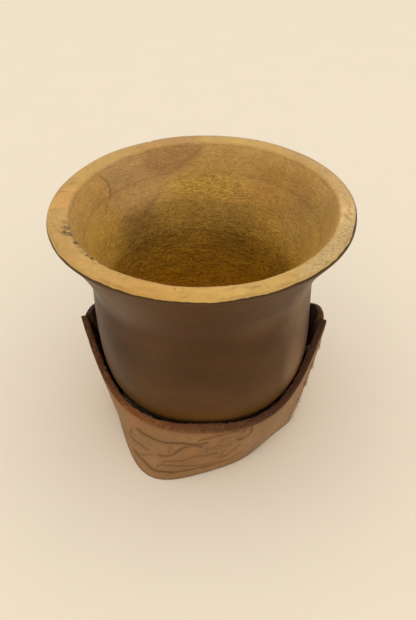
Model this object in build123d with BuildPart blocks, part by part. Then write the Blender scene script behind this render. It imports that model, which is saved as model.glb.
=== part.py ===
from build123d import *
import os
from math import atan2, cos, degrees, hypot, pi, radians, sin, sqrt

# ---------------------------------------------------------------------------
# Open drinking gourd standing in a laced leather stand.
# Millimetres, +Z up, the table is z = 0, the gourd's axis is the Z axis and
# the front of the stand faces -Y.
# ---------------------------------------------------------------------------

# Gourd cup
RIM_Z = 81.0            # height of the rim face above the table
LIP_R = 49.1            # outer radius the flare would reach without its rounding
LIP_ROUND = 1.6         # depth taken by the rounding of the lip's outer corner
MOUTH_R = 42.3          # inner radius of the mouth
MOUTH_ROUND = 0.8       # depth taken by the rounding of the inner corner
FACE_OUTER_R = 47.3     # where the rim face meets the outer rounding
FACE_INNER_R = 42.7     # where the rim face meets the inner rounding
RIM_DOME = 0.35         # height of the slight dome on the rim face
BODY_R = 35.9           # outer radius of the body
BODY_INNER_R = 30.0     # inner radius of the body
FLARE_DEPTH = 25.0      # depth over which the flare fades into the body
FLARE_POWER = 1.5
INNER_FLARE_DEPTH = 28.0
INNER_FLARE_POWER = 1.35
SHOULDER_DEPTH = 33.0   # depth where the body starts to round into its bottom
BOTTOM_DEPTH = 76.0     # depth of the outside of the bottom below the rim
INNER_BOTTOM_DEPTH = 70.0
CAP_P = 3.6             # exponents of the rounded, flattish bottom
CAP_Q = 3.0

# Leather stand: two panels of one pattern, laced along two side seams
LEATHER_T = 2.55        # thickness of the leather
TOP_AZ = -2.93          # azimuth of the right seam at the top
FOOT_AZ = -24.0         # azimuth of the right seam at the foot
TOP_R_MID = 37.24       # outer radius of the top edge at mid panel
TOP_R_TIP = 41.47       # outer radius of the top edge near the seams
TOP_R_DIP = -0.39       # share of the radius that first dips away from mid panel
TOP_R_POWER = 6.03
TOP_R_LEAN = 0.56       # how much wider the top runs on its left side
FRONT_TIPS = (0.60, 1.21)   # how far the front panel's right and left tips turn out
BACK_TIPS = (-0.38, -0.65)  # how far the back panel's left and right tips tuck in
TOP_Z_MID = 20.64       # height of the top's inner edge at mid panel
TOP_Z_TIP = 37.2        # height of the top's inner edge at the seams
TOP_Z_DIP = -1.884      # share of the height that first dips away from mid panel
TOP_Z_POWER = 2.757
TOP_Z_LEAN = 0.085
CUT_DROP = 1.0          # drop of the cut edge from its inner to its outer side
CUT_SQUARE = 0.79       # how far the cut follows the leather's own slope
FOOT_SEAM_R = 33.1      # foot outline: half diagonal through the seams
FOOT_FOLD_R = 43.3      # foot outline: half diagonal through the folds
FOOT_POWER = 1.35       # superellipse exponent of the foot outline
FOLD_SOFT = 0.116       # rounding of the foot outline at the folds
SEAM_SOFT = 0.075       # rounding of the foot outline at the seams
FOOT_WAVES_RIGHT = (-0.156, 0.249, 0.817)   # waves of the outline from seam to fold
FOOT_WAVES_LEFT = (0.140, 0.844, 0.0)       # and from fold to seam
BELLY = 0.725           # outward bow of the panels at mid height
BELLY_LEAN = -0.16      # how the bow changes from the right seam to the left
SEAM_GAP = 0.15         # half of the gap between the two butted panels
BACK_Z_MID = 22.0       # height of the back panel's top edge at mid panel
BACK_Z_TIPS = (37.9, 38.8)  # heights of its left and right ears
BACK_Z_POWERS = (3.2, 10.0)  # how long each ear stays level
BACK_EAR_ROUND = 1.4    # rounding of its ears' corners

# Lacing
LACE_R = 0.45
LACE_CLEAR = 0.1
HOLE_INSET = 2.5        # distance of the holes from the seam
STITCH_Z = [3.4, 9.2, 15.4, 21.8, 28.4]
STITCH_SLANT = 1.3      # drop of the inside runs between stitches


def flare(depth, reach, top_r, body_r, power):
    if depth >= reach:
        return body_r
    return body_r + (top_r - body_r) * (1 - depth / reach) ** power


def cap(depth, start, end, radius):
    t = min(1.0, (depth - start) / (end - start))
    return radius * max(0.0, 1 - t ** CAP_P) ** (1 / CAP_Q)


def cap_points(start, end, radius, steps):
    """Stations round the bottom, spread evenly along the curve."""
    pts = []
    for i in range(steps + 1):
        a = (pi / 2) * i / steps
        t = sin(a) ** (2 / CAP_P)
        r = radius * (max(0.0, cos(a)) ** (2 / CAP_Q))
        pts.append((r, RIM_Z - (start + (end - start) * t)))
    pts[-1] = (0.0, RIM_Z - end)
    return pts


def side_points(reach, top_r, body_r, power, first, last, steps):
    """Stations down the side, from depth first to depth last."""
    pts = []
    for i in range(steps + 1):
        d = first + (last - first) * i / steps
        pts.append((flare(d, reach, top_r, body_r, power), RIM_Z - d))
    return pts


# ---------------------------------------------------------------------------
# Gourd cup: one hollow solid of revolution
# ---------------------------------------------------------------------------
outer_side = side_points(
    FLARE_DEPTH, LIP_R, BODY_R, FLARE_POWER, LIP_ROUND, SHOULDER_DEPTH, 9
)
inner_side = side_points(
    INNER_FLARE_DEPTH, MOUTH_R, BODY_INNER_R, INNER_FLARE_POWER, MOUTH_ROUND, SHOULDER_DEPTH - 2, 9
)
outer_cap = cap_points(SHOULDER_DEPTH, BOTTOM_DEPTH, BODY_R, 12)
inner_cap = cap_points(SHOULDER_DEPTH - 2, INNER_BOTTOM_DEPTH, BODY_INNER_R, 12)

with BuildPart() as gourd_cup:
    with BuildSketch(Plane.XZ):
        with BuildLine():
            Spline(*outer_side, tangents=((-0.72, -1), (0, -1)))
            Spline(*outer_cap, tangents=((0, -1), (-1, 0)))
            Line(outer_cap[-1], inner_cap[-1])
            Spline(*reversed(inner_cap), tangents=((1, 0), (0, 1)))
            Spline(*reversed(inner_side), tangents=((0, 1), (0.6, 1)))
            ThreePointArc(
                inner_side[0],
                (FACE_INNER_R - 0.55, RIM_Z - 0.22),
                (FACE_INNER_R, RIM_Z),
            )
            ThreePointArc(
                (FACE_INNER_R, RIM_Z),
                ((FACE_INNER_R + FACE_OUTER_R) / 2, RIM_Z + RIM_DOME),
                (FACE_OUTER_R, RIM_Z),
            )
            ThreePointArc(
                (FACE_OUTER_R, RIM_Z),
                (FACE_OUTER_R + 0.7, RIM_Z - 0.55),
                outer_side[0],
            )
        make_face()
    revolve(axis=Axis.Z)
gourd_cup.part.label = "gourd_cup"


# ---------------------------------------------------------------------------
# Leather panels
# ---------------------------------------------------------------------------
def ease(a, b, x):
    """0 before a, 1 after b, and a smooth rise between them."""
    t = min(1.0, max(0.0, (x - a) / (b - a)))
    return t * t * (3 - 2 * t)


def blend(u, dip, power):
    return dip * u ** 2 + (1 - dip) * u ** power


def top_radius(s, tips):
    """Outer radius of a panel's top, s = 0 at its right seam and 1 at its left."""
    w = 2 * s - 1
    u = abs(w)
    r = TOP_R_MID + (TOP_R_TIP - TOP_R_MID) * blend(u, TOP_R_DIP, TOP_R_POWER)
    r += TOP_R_LEAN * w * (1 - u * u)
    for side, tip in ((-w, tips[0]), (w, tips[1])):
        r += tip * ease(0.6 if tip > 0 else 0.9, 1, side)
    return r


def top_height(s):
    """Height of the inner side of the front panel's top: a low U between tips."""
    w = 2 * s - 1
    u = abs(w)
    z = TOP_Z_MID + (TOP_Z_TIP - TOP_Z_MID) * blend(u, TOP_Z_DIP, TOP_Z_POWER)
    return z + TOP_Z_LEAN * w * (1 - u * u)


def foot_radius(s):
    """Outer foot outline of a panel: a waved, slightly long rhombus."""
    p = -pi * s
    c = (hypot(cos(p), FOLD_SOFT) - FOLD_SOFT) / (hypot(1, FOLD_SOFT) - FOLD_SOFT)
    q = (hypot(sin(p), SEAM_SOFT) - SEAM_SOFT) / (hypot(1, SEAM_SOFT) - SEAM_SOFT)
    n = FOOT_POWER
    r = ((c / FOOT_SEAM_R) ** n + (q / FOOT_FOLD_R) ** n) ** (-1 / n)
    waves = FOOT_WAVES_RIGHT if s <= 0.5 else FOOT_WAVES_LEFT
    return r + sum(k * sin((2 * i + 2) * p) for i, k in enumerate(waves))


def cut_drop(s, tips):
    """How much lower the outer side of the cut top edge is than its inner side."""
    slope = atan2(foot_radius(s) - top_radius(s, tips), top_height(s))
    return CUT_DROP + LEATHER_T * sin(slope) * CUT_SQUARE


def outer_point(s, z, tips):
    """Point of a panel's outer face at height z, on the line from foot to top."""
    tr, tz = top_radius(s, tips), top_height(s) - cut_drop(s, tips)
    ta = radians(TOP_AZ - 180 * s)
    fr, fa = foot_radius(s), radians(FOOT_AZ) - pi * s
    v = 1 - z / tz
    x = tr * cos(ta) * (1 - v) + fr * cos(fa) * v
    y = tr * sin(ta) * (1 - v) + fr * sin(fa) * v
    bow = (BELLY + BELLY_LEAN * (2 * s - 1)) * max(0.0, 4 * v * (1 - v))
    r = hypot(x, y)
    return x * (r + bow) / r, y * (r + bow) / r


def inner_point(s, z, tips):
    """The same point moved radially inward by one leather thickness."""
    e = 0.004
    ax, ay = outer_point(max(0.0, s - e), z, tips)
    bx, by = outer_point(min(1.0, s + e), z, tips)
    x, y = outer_point(s, z, tips)
    r = hypot(x, y)
    tangent = hypot(bx - ax, by - ay)
    across = abs((bx - ax) * y - (by - ay) * x) / (tangent * r)
    depth = LEATHER_T / max(0.86, across)
    return x * (r - depth) / r, y * (r - depth) / r


SECTIONS = [0.0, 9.0, 18.0, 27.0, 36.0, 45.0]
STATIONS = 28


def stations():
    """Values of s along a panel, closer together at the seams and at the fold."""
    eps = SEAM_GAP / 125.0
    out = []
    for i in range(STATIONS + 1):
        t = i / STATIONS
        out.append(eps + (1 - 2 * eps) * (t - 0.45 * sin(4 * pi * t) / (4 * pi)))
    return out


def panel_section(z, tips):
    """Points of a panel's section: outer face and inner face, right to left."""
    outer = [outer_point(s, z, tips) for s in stations()]
    inner = [inner_point(s, z, tips) for s in stations()]
    return outer, inner


def back_height(s):
    """Height of the back panel's top: broader ears with rounded corners."""
    u = abs(2 * s - 1)
    ear = 0 if s < 0.5 else 1
    rise = (BACK_Z_TIPS[ear] - BACK_Z_MID) * sin(pi * u / 2) ** BACK_Z_POWERS[ear]
    z = BACK_Z_MID + rise
    inset = (1 - u) / 2 * pi * TOP_R_TIP
    if inset < BACK_EAR_ROUND:
        k = BACK_EAR_ROUND - max(0.0, inset)
        z -= BACK_EAR_ROUND - sqrt(BACK_EAR_ROUND ** 2 - k * k * 0.92)
    return z


TRIM_CEILING = 60.0     # top of the volume trimmed off above a panel


def trim_sections(height, tips, turn):
    """Radial planes, each with the four corners of the space above the cut edge."""
    out = []
    marks = [-0.03, -0.01, 0.0, 0.006, 0.014, 0.03, 0.055]
    marks += [0.08 + 0.84 * i / 14 for i in range(15)]
    marks += [0.945, 0.97, 0.986, 0.994, 1.0, 1.01, 1.03]
    for s in marks:
        a = radians(TOP_AZ - 180 * s + turn)
        plane = Plane(
            origin=(0, 0, 0), x_dir=(cos(a), sin(a), 0), z_dir=(sin(a), -cos(a), 0)
        )
        q = min(1.0, max(0.0, s))
        z, r = height(q), top_radius(q, tips)
        slope = cut_drop(q, tips) / LEATHER_T
        low = [(x, z + slope * (r - LEATHER_T - x)) for x in (20, 60)]
        out.append((plane, [low[0], low[1], (60, TRIM_CEILING), (20, TRIM_CEILING)]))
    return out


def stitch_path(turn, z):
    """Outer and inner ends of a stitch's two legs, and its crest over the seam."""
    half = HOLE_INSET / 125.0
    legs = []
    here, there = (FRONT_TIPS, BACK_TIPS) if turn == 0 else (BACK_TIPS, FRONT_TIPS)
    for s, side, tips in ((half, turn, here), (1 - half, turn + 180, there)):
        x, y = outer_point(s, z, tips)
        ix, iy = inner_point(s, z, tips)
        d = hypot(x - ix, y - iy)
        nx, ny = (x - ix) / d, (y - iy) / d
        lift = LACE_R + LACE_CLEAR
        c, n = cos(radians(side)), sin(radians(side))
        o = (x + nx * lift, y + ny * lift)
        i = (ix - nx * (LACE_R + 0.05), iy - ny * (LACE_R + 0.05))
        legs.append(
            (
                (o[0] * c - o[1] * n, o[0] * n + o[1] * c, z),
                (i[0] * c - i[1] * n, i[0] * n + i[1] * c, z),
            )
        )
    inside = min(hypot(*leg[1][:2]) for leg in legs) + 0.12
    for n, (_, (ix, iy, _)) in enumerate(legs):
        k = min(1.0, inside / hypot(ix, iy))
        legs[n] = (legs[n][0], (ix * k, iy * k, z))
    x, y = outer_point(0.0, z, here)
    r = hypot(x, y)
    over = max(r, hypot(*outer_point(1.0, z, there))) + LACE_R * 1.6
    x, y = x * over / r, y * over / r
    c, n = cos(radians(turn)), sin(radians(turn))
    crest = (x * c - y * n, x * n + y * c, z)
    return legs[0], crest, legs[1]


def lace_points(turn):
    """The lace's run: up through a hole, over the seam, down, on to the next."""
    pts = []
    for z in STITCH_Z:
        front, crest, back = stitch_path(turn, z)
        pts += [front[1], front[0], crest, back[0], back[1]]
    return pts


def rod_plane(p, q):
    """Plane at the middle of a straight run, its normal along the run."""
    return Plane(
        origin=((p[0] + q[0]) / 2, (p[1] + q[1]) / 2, (p[2] + q[2]) / 2),
        z_dir=(q[0] - p[0], q[1] - p[1], q[2] - p[2]),
    )


def start_plane(run):
    """Plane across the first run of a path."""
    p, q = run[0], run[1]
    return Plane(origin=p, z_dir=(q[0] - p[0], q[1] - p[1], q[2] - p[2]))


def span(p, q):
    return sqrt(sum((a - b) ** 2 for a, b in zip(p, q)))


# ---------------------------------------------------------------------------
# Volumes above the two top edges
# ---------------------------------------------------------------------------
with BuildPart() as front_trim:
    for plane, corners in trim_sections(top_height, FRONT_TIPS, 0):
        with BuildSketch(plane):
            with BuildLine():
                Polyline(*corners, close=True)
            make_face()
    loft()

with BuildPart() as back_trim:
    for plane, corners in trim_sections(back_height, BACK_TIPS, 180):
        with BuildSketch(plane):
            with BuildLine():
                Polyline(*corners, close=True)
            make_face()
    loft()

# ---------------------------------------------------------------------------
# The two panels, each with a column of lace holes at both ends
# ---------------------------------------------------------------------------
with BuildPart() as front_blank:
    for z in SECTIONS:
        outer, inner = panel_section(z, FRONT_TIPS)
        with BuildSketch(Plane.XY.offset(z)):
            with BuildLine():
                Spline(*outer)
                Line(outer[-1], inner[-1])
                Spline(*reversed(inner))
                Line(inner[0], outer[0])
            make_face()
    loft()

with BuildPart() as back_blank:
    for z in SECTIONS:
        outer, inner = panel_section(z, BACK_TIPS)
        with BuildSketch(Plane.XY.offset(z)):
            with BuildLine():
                Spline(*outer)
                Line(outer[-1], inner[-1])
                Spline(*reversed(inner))
                Line(inner[0], outer[0])
            make_face()
    loft()

with BuildPart() as stand_front:
    add(front_blank.part)
    add(front_trim.part, mode=Mode.SUBTRACT)
    for z in STITCH_Z:
        for leg in (stitch_path(0, z)[0], stitch_path(180, z)[2]):
            with BuildSketch(rod_plane(leg[0], leg[1])):
                Circle(LACE_R + LACE_CLEAR)
            extrude(amount=span(*leg) / 2 + 0.5, both=True, mode=Mode.SUBTRACT)
stand_front.part.label = "stand_front"

with BuildPart() as stand_back:
    with Locations(Location((0, 0, 0), (0, 0, 180))):
        add(back_blank.part)
    add(back_trim.part, mode=Mode.SUBTRACT)
    for z in STITCH_Z:
        for leg in (stitch_path(180, z)[0], stitch_path(0, z)[2]):
            with BuildSketch(rod_plane(leg[0], leg[1])):
                Circle(LACE_R + LACE_CLEAR)
            extrude(amount=span(*leg) / 2 + 0.5, both=True, mode=Mode.SUBTRACT)
stand_back.part.label = "stand_back"

# ---------------------------------------------------------------------------
# Lacing: one round thong at each side seam
# ---------------------------------------------------------------------------
with BuildPart() as lacing_right:
    run = lace_points(0)
    with BuildLine():
        Polyline(*run)
    with BuildSketch(start_plane(run)):
        Circle(LACE_R)
    sweep(transition=Transition.ROUND)
lacing_right.part.label = "lacing_right"

with BuildPart() as lacing_left:
    run = lace_points(180)
    with BuildLine():
        Polyline(*run)
    with BuildSketch(start_plane(run)):
        Circle(LACE_R)
    sweep(transition=Transition.ROUND)
lacing_left.part.label = "lacing_left"

os.makedirs("parts", exist_ok=True)
export_step(gourd_cup.part, "parts/gourd_cup.step")
export_step(stand_front.part, "parts/stand_front.step")
export_step(stand_back.part, "parts/stand_back.step")
export_step(lacing_right.part, "parts/lacing_right.step")
export_step(lacing_left.part, "parts/lacing_left.step")
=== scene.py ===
import bpy
import math
import numpy as np
from mathutils import Matrix, Vector
from mathutils.geometry import tessellate_polygon


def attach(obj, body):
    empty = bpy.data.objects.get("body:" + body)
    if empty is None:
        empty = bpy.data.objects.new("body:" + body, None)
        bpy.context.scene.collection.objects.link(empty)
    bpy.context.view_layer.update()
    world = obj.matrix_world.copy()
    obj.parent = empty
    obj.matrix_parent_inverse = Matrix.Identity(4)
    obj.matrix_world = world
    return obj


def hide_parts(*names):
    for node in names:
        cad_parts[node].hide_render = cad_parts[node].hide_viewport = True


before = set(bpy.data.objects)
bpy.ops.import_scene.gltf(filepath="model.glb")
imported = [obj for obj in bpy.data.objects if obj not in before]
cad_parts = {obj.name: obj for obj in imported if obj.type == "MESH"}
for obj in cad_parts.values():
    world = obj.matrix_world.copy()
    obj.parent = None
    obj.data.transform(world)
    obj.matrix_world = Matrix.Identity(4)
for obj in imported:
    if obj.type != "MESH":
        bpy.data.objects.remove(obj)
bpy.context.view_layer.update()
MM = 0.001

# ---------------------------------------------------------------------------
# Sizes, in millimetres, as in the CAD model
# ---------------------------------------------------------------------------
RIM_Z = 81.0
LIP_R, MOUTH_R = 49.1, 42.3
FACE_OUTER_R, FACE_INNER_R, RIM_DOME = 47.3, 42.7, 0.35
BODY_R, BODY_INNER_R = 35.9, 30.0
FLARE_DEPTH, FLARE_POWER = 25.0, 1.5
INNER_FLARE_DEPTH, INNER_FLARE_POWER = 28.0, 1.35
SHOULDER_DEPTH, BOTTOM_DEPTH, INNER_BOTTOM_DEPTH = 33.0, 76.0, 70.0
CAP_P, CAP_Q = 3.6, 3.0

LEATHER_T = 2.55
TOP_AZ, FOOT_AZ = -2.93, -24.0
TOP_R_MID, TOP_R_TIP, TOP_R_DIP, TOP_R_POWER, TOP_R_LEAN = 37.24, 41.47, -0.39, 6.03, 0.56
TOP_Z_MID, TOP_Z_TIP, TOP_Z_DIP, TOP_Z_POWER, TOP_Z_LEAN = 20.64, 37.2, -1.884, 2.757, 0.085
FRONT_TIPS, BACK_TIPS = (0.60, 1.21), (-0.38, -0.65)
CUT_DROP, CUT_SQUARE = 1.0, 0.79
FOOT_SEAM_R, FOOT_FOLD_R, FOOT_POWER, FOLD_SOFT, SEAM_SOFT = 33.1, 43.3, 1.35, 0.116, 0.075
FOOT_WAVES_RIGHT, FOOT_WAVES_LEFT = (-0.156, 0.249, 0.817), (0.140, 0.844, 0.0)
BELLY, BELLY_LEAN, SEAM_GAP = 0.725, -0.16, 0.15
BACK_Z_MID, BACK_Z_TIPS, BACK_Z_POWERS, BACK_EAR_ROUND = 22.0, (37.9, 38.8), (3.2, 10.0), 1.4
SHOWN_INSET = 3.2       # distance of the lace holes from the seam
STITCH_Z = [3.4, 9.2, 15.4, 21.8, 28.4]
LACE_R = 0.5


# ---------------------------------------------------------------------------
# Noise in plain numpy, seeded
# ---------------------------------------------------------------------------
_grads = np.array(
    [[1, 1, 0], [-1, 1, 0], [1, -1, 0], [-1, -1, 0], [1, 0, 1], [-1, 0, 1],
     [1, 0, -1], [-1, 0, -1], [0, 1, 1], [0, -1, 1], [0, 1, -1], [0, -1, -1]], float)


def perlin(p, seed=0):
    """Gradient noise of points p (n, 3), about -0.7 to 0.7."""
    perm = np.random.RandomState(seed).permutation(256)
    perm = np.concatenate([perm, perm, perm])
    i = np.floor(p).astype(int)
    f = p - i
    i &= 255
    u = f * f * f * (f * (f * 6 - 15) + 10)
    out = 0.0
    for dx in (0, 1):
        for dy in (0, 1):
            for dz in (0, 1):
                h = perm[perm[perm[(i[:, 0] + dx) & 255] + ((i[:, 1] + dy) & 255)] + ((i[:, 2] + dz) & 255)] % 12
                g = _grads[h]
                d = g[:, 0] * (f[:, 0] - dx) + g[:, 1] * (f[:, 1] - dy) + g[:, 2] * (f[:, 2] - dz)
                w = (u[:, 0] if dx else 1 - u[:, 0]) * (u[:, 1] if dy else 1 - u[:, 1]) * (u[:, 2] if dz else 1 - u[:, 2])
                out = out + w * d
    return out


def fbm(p, size, octaves=4, seed=0, gain=0.5):
    """Layered noise; size is the largest feature's size in mm."""
    out, amp, q = 0.0, 1.0, p / size
    for k in range(octaves):
        out = out + amp * perlin(q, seed + k * 17)
        amp *= gain
        q = q * 2.03 + 11.7
    return out


def smooth(a, b, x):
    t = np.clip((x - a) / (b - a), 0, 1)
    return t * t * (3 - 2 * t)


# ---------------------------------------------------------------------------
# Mesh helpers
# ---------------------------------------------------------------------------
def make_piece(name, verts_mm, faces, mats, mat_index=None, attrs=None, sharp=None):
    me = bpy.data.meshes.new(name)
    v = np.asarray(verts_mm, float) * MM
    faces = np.asarray(faces)
    me.vertices.add(len(v))
    me.vertices.foreach_set("co", v.astype(np.float32).ravel())
    n, k = faces.shape
    me.loops.add(n * k)
    me.loops.foreach_set("vertex_index", faces.astype(np.int32).ravel())
    me.polygons.add(n)
    me.polygons.foreach_set("loop_start", np.arange(0, n * k, k, dtype=np.int32))
    me.polygons.foreach_set("loop_total", np.full(n, k, dtype=np.int32))
    if mat_index is not None:
        me.polygons.foreach_set("material_index", mat_index.astype(np.int32))
    me.update(calc_edges=True)
    me.validate()
    me.polygons.foreach_set("use_smooth", np.ones(len(me.polygons), dtype=bool))
    if sharp:
        me.set_sharp_from_angle(angle=math.radians(sharp))
    for key, (kind, data) in (attrs or {}).items():
        a = me.attributes.new(key, kind, "POINT")
        field = {"FLOAT": "value", "FLOAT_VECTOR": "vector", "FLOAT_COLOR": "color"}[kind]
        a.data.foreach_set(field, np.asarray(data, np.float32).ravel())
    for m in mats:
        me.materials.append(m)
    ob = bpy.data.objects.new(name, me)
    bpy.context.scene.collection.objects.link(ob)
    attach(ob, "root")
    return ob


def split_quads(a, b, c, d):
    """Two triangles for each quad a, b, c, d."""
    a, b, c, d = (np.broadcast_to(v, np.broadcast_shapes(*(np.shape(w) for w in (a, b, c, d)))).ravel()
                  for v in (a, b, c, d))
    return np.concatenate([np.stack([a, b, c], 1), np.stack([a, c, d], 1)])


def resample(points, spacing):
    """Points along a polyline at a roughly even spacing; keeps both ends."""
    p = np.asarray(points, float)
    seg = np.hypot(*np.diff(p, axis=0).T)
    s = np.concatenate([[0], np.cumsum(seg)])
    n = max(2, int(round(s[-1] / spacing)) + 1)
    t = np.linspace(0, s[-1], n)
    return np.stack([np.interp(t, s, p[:, 0]), np.interp(t, s, p[:, 1])], 1)


# ---------------------------------------------------------------------------
# Node helpers
# ---------------------------------------------------------------------------
class Mat:
    """A small wrapper that keeps node building short."""

    def __init__(self, name):
        self.m = bpy.data.materials.new(name)
        self.m.use_nodes = True
        self.t = self.m.node_tree
        self.t.nodes.clear()
        self.out = self.t.nodes.new("ShaderNodeOutputMaterial")
        self.b = self.t.nodes.new("ShaderNodeBsdfPrincipled")
        self.t.links.new(self.b.outputs[0], self.out.inputs[0])

    def node(self, kind, **props):
        n = self.t.nodes.new(kind)
        for k, v in props.items():
            setattr(n, k, v)
        return n

    def link(self, a, b):
        self.t.links.new(a, b)

    def attr(self, name):
        return self.node("ShaderNodeAttribute", attribute_name=name)

    def coords(self):
        return self.node("ShaderNodeTexCoord").outputs["Object"]

    def mapped(self, vec, scale, turn=(0, 0, 0)):
        n = self.node("ShaderNodeMapping")
        n.inputs["Scale"].default_value = scale
        n.inputs["Rotation"].default_value = [math.radians(a) for a in turn]
        self.link(vec, n.inputs["Vector"])
        return n.outputs[0]

    def noise(self, vec, scale, detail=4, rough=0.55, distort=0.0):
        n = self.node("ShaderNodeTexNoise")
        n.inputs["Scale"].default_value = scale
        n.inputs["Detail"].default_value = detail
        n.inputs["Roughness"].default_value = rough
        n.inputs["Distortion"].default_value = distort
        self.link(vec, n.inputs["Vector"])
        return n.outputs[0]

    def voronoi(self, vec, scale, feature="F1", rand=1.0):
        n = self.node("ShaderNodeTexVoronoi", feature=feature)
        n.inputs["Scale"].default_value = scale
        n.inputs["Randomness"].default_value = rand
        self.link(vec, n.inputs["Vector"])
        return n.outputs["Distance"]

    def ramp(self, fac, stops):
        n = self.node("ShaderNodeValToRGB")
        el = n.color_ramp.elements
        while len(el) < len(stops):
            el.new(0.5)
        for e, (pos, col) in zip(el, stops):
            e.position = pos
            e.color = (*col, 1) if len(col) == 3 else col
        self.link(fac, n.inputs[0])
        return n.outputs[0]

    def range(self, fac, a, b, lo, hi, clamp=True):
        n = self.node("ShaderNodeMapRange", clamp=clamp)
        for i, v in enumerate((a, b, lo, hi)):
            n.inputs[1 + i].default_value = v
        self.link(fac, n.inputs[0])
        return n.outputs[0]

    def mix(self, fac, a, b, mode="MIX"):
        n = self.node("ShaderNodeMix", data_type="RGBA", blend_type=mode)
        for sock, v in ((n.inputs[0], fac), (n.inputs[6], a), (n.inputs[7], b)):
            if isinstance(v, (int, float)):
                sock.default_value = v
            elif isinstance(v, tuple):
                sock.default_value = (*v, 1)
            else:
                self.link(v, sock)
        return n.outputs[2]

    def math(self, op, a, b=None, clamp=False):
        n = self.node("ShaderNodeMath", operation=op, use_clamp=clamp)
        for sock, v in ((n.inputs[0], a), (n.inputs[1], b)):
            if v is None:
                continue
            if isinstance(v, (int, float)):
                sock.default_value = v
            else:
                self.link(v, sock)
        return n.outputs[0]

    def bump(self, height, strength, distance_mm, normal=None):
        n = self.node("ShaderNodeBump")
        n.inputs["Strength"].default_value = strength
        n.inputs["Distance"].default_value = distance_mm * MM
        self.link(height, n.inputs["Height"])
        if normal is not None:
            self.link(normal, n.inputs["Normal"])
        return n.outputs[0]


# ---------------------------------------------------------------------------
# Palette, in 8-bit sRGB: what colour each part of the surface has, the named stains on it, and a painted highlight and
# sheen
# ---------------------------------------------------------------------------
# down the inner wall, by depth below the rim in mm
INNER_STOPS = [(0, (194, 150, 84)), (5, (186, 143, 72)), (12, (184, 142, 62)), (22, (178, 136, 54)),
               (34, (176, 132, 34)), (46, (182, 130, 12)), (70, (178, 114, 0))]
# round the rim face, by degrees from the front, anticlockwise from above
RIM_STOPS = [(-180, (186, 150, 84)), (-130, (188, 150, 84)), (-112, (192, 150, 80)), (-95, (212, 164, 84)),
             (-78, (192, 152, 84)), (-50, (198, 156, 86)), (-20, (196, 148, 74)), (0, (206, 162, 84)), (28, (200, 160, 88)),
             (62, (196, 164, 100)), (84, (222, 184, 122)), (110, (192, 152, 92)), (140, (190, 150, 88)),
             (165, (194, 154, 90)), (180, (186, 150, 84))]
# on the wall: azimuth, depth, half width and half height in mm, colour, strength, softness
WALL_SPOTS = [
    (128, 8, 16, 12, (178, 139, 86), 0.75, 0.5),        # greyish beige at the upper left
    (160, 5, 9.5, 8.0, (190, 144, 74), 0.85, 0.10),     # tan stain at the left
    (106, 3, 10, 6.0, (160, 116, 62), 0.62, 0.14),      # pinkish stain at the rear left
    (86, 12, 16, 4.6, (194, 150, 60), 0.6, 0.35),       # golden band across the rear
    (60, 12, 9, 8, (170, 126, 62), 0.45, 0.5),
    (38, 9, 13, 9, (174, 124, 56), 0.6, 0.4),           # rough brownish zone at the right
    (62, 30, 11, 9, (124, 92, 24), 0.25, 0.6),           # olive tint low at the right
    (20, 14, 12, 10, (158, 124, 66), 0.5, 0.6),
    (135, 24, 10, 9, (128, 92, 36), 0.5, 0.5),
    (-90, 8, 24, 16, (170, 128, 70), 0.4, 0.6),
]
# stain outlines on the wall: (azimuth, depth) points, width in mm, colour, strength
WALL_LINES = [
    ([(148, 0), (144, 4.4), (146, 8), (151, 10), (153, 12)], 0.45, (120, 82, 40), 0.55),
    ([(90, 0), (94, 3.4), (99, 5.4), (103, 7.4)], 0.5, (128, 84, 46), 0.5),
    ([(121, 16.5), (116, 14.5), (115, 12.5), (110, 11.2), (104, 10.6), (96, 10), (84, 10)], 0.5, (132, 92, 44), 0.5),
    ([(121, 16), (126, 18), (131, 20), (138, 23)], 0.8, (110, 76, 32), 0.45),
    ([(-60, 4), (-75, 9), (-96, 8), (-112, 12)], 0.5, (120, 84, 44), 0.4),
]
# on the rim face: azimuth, radius, half width in degrees, half depth in mm, colour, strength, softness
RIM_SPOTS = [
    (108, 45, 14, 5, (184, 136, 80), 0.75, 0.15),       # pinkish patch
    (-31, 45.2, 19, 4.2, (202, 168, 112), 0.85, 0.12),   # greyish speckled patch
    (172, 44, 9, 2.2, (216, 152, 88), 0.35, 0.4),
    (-150, 46, 14, 2, (190, 138, 70), 0.35, 0.4),
    (-100, 46.5, 14, 1.4, (180, 134, 66), 0.35, 0.5),
    (-60, 45, 6, 2.2, (206, 160, 86), 0.4, 0.5),
    (70, 44, 16, 2, (206, 166, 84), 0.5, 0.5),
]
# fine veins on the rim face: (azimuth, radius) points, width, colour, strength
RIM_LINES = [
    ([(11, 42.9), (7, 45.2), (4, 44.2), (-1, 46.0), (-6, 45.0), (-9, 46.8)], 0.22, (150, 104, 54), 0.55),
    ([(14, 44.6), (10, 46.9), (3, 47.0)], 0.2, (160, 112, 60), 0.45),
    ([(-8, 43.6), (-11, 45.2), (-12, 47.2)], 0.4, (158, 110, 54), 0.55),
    ([(176, 43.8), (178, 45.4), (-178, 46.6)], 0.3, (176, 116, 66), 0.4),
]
# grey-black smudges by the mouth's edge: azimuth, radius, half width, half depth, strength
SMUDGES = [(-163, 42.9, 5, 1.5, 0.9), (-155, 42.0, 3, 1.2, 1.3), (-149, 42.3, 4, 0.8, 0.8), (-142, 42.2, 4.5, 1.0, 1.1),
           (-134, 41.8, 4, 0.8, 1.2), (-168, 42.6, 2.5, 0.8, 0.5), (-129, 42.0, 2, 0.6, 0.6)]
# down the outer skin, by depth below the rim
SKIN_STOPS = [(0, (84, 56, 28)), (8, (84, 56, 28)), (20, (76, 48, 22)), (34, (74, 46, 18)), (46, (84, 54, 22)),
              (76, (88, 58, 24))]
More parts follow.
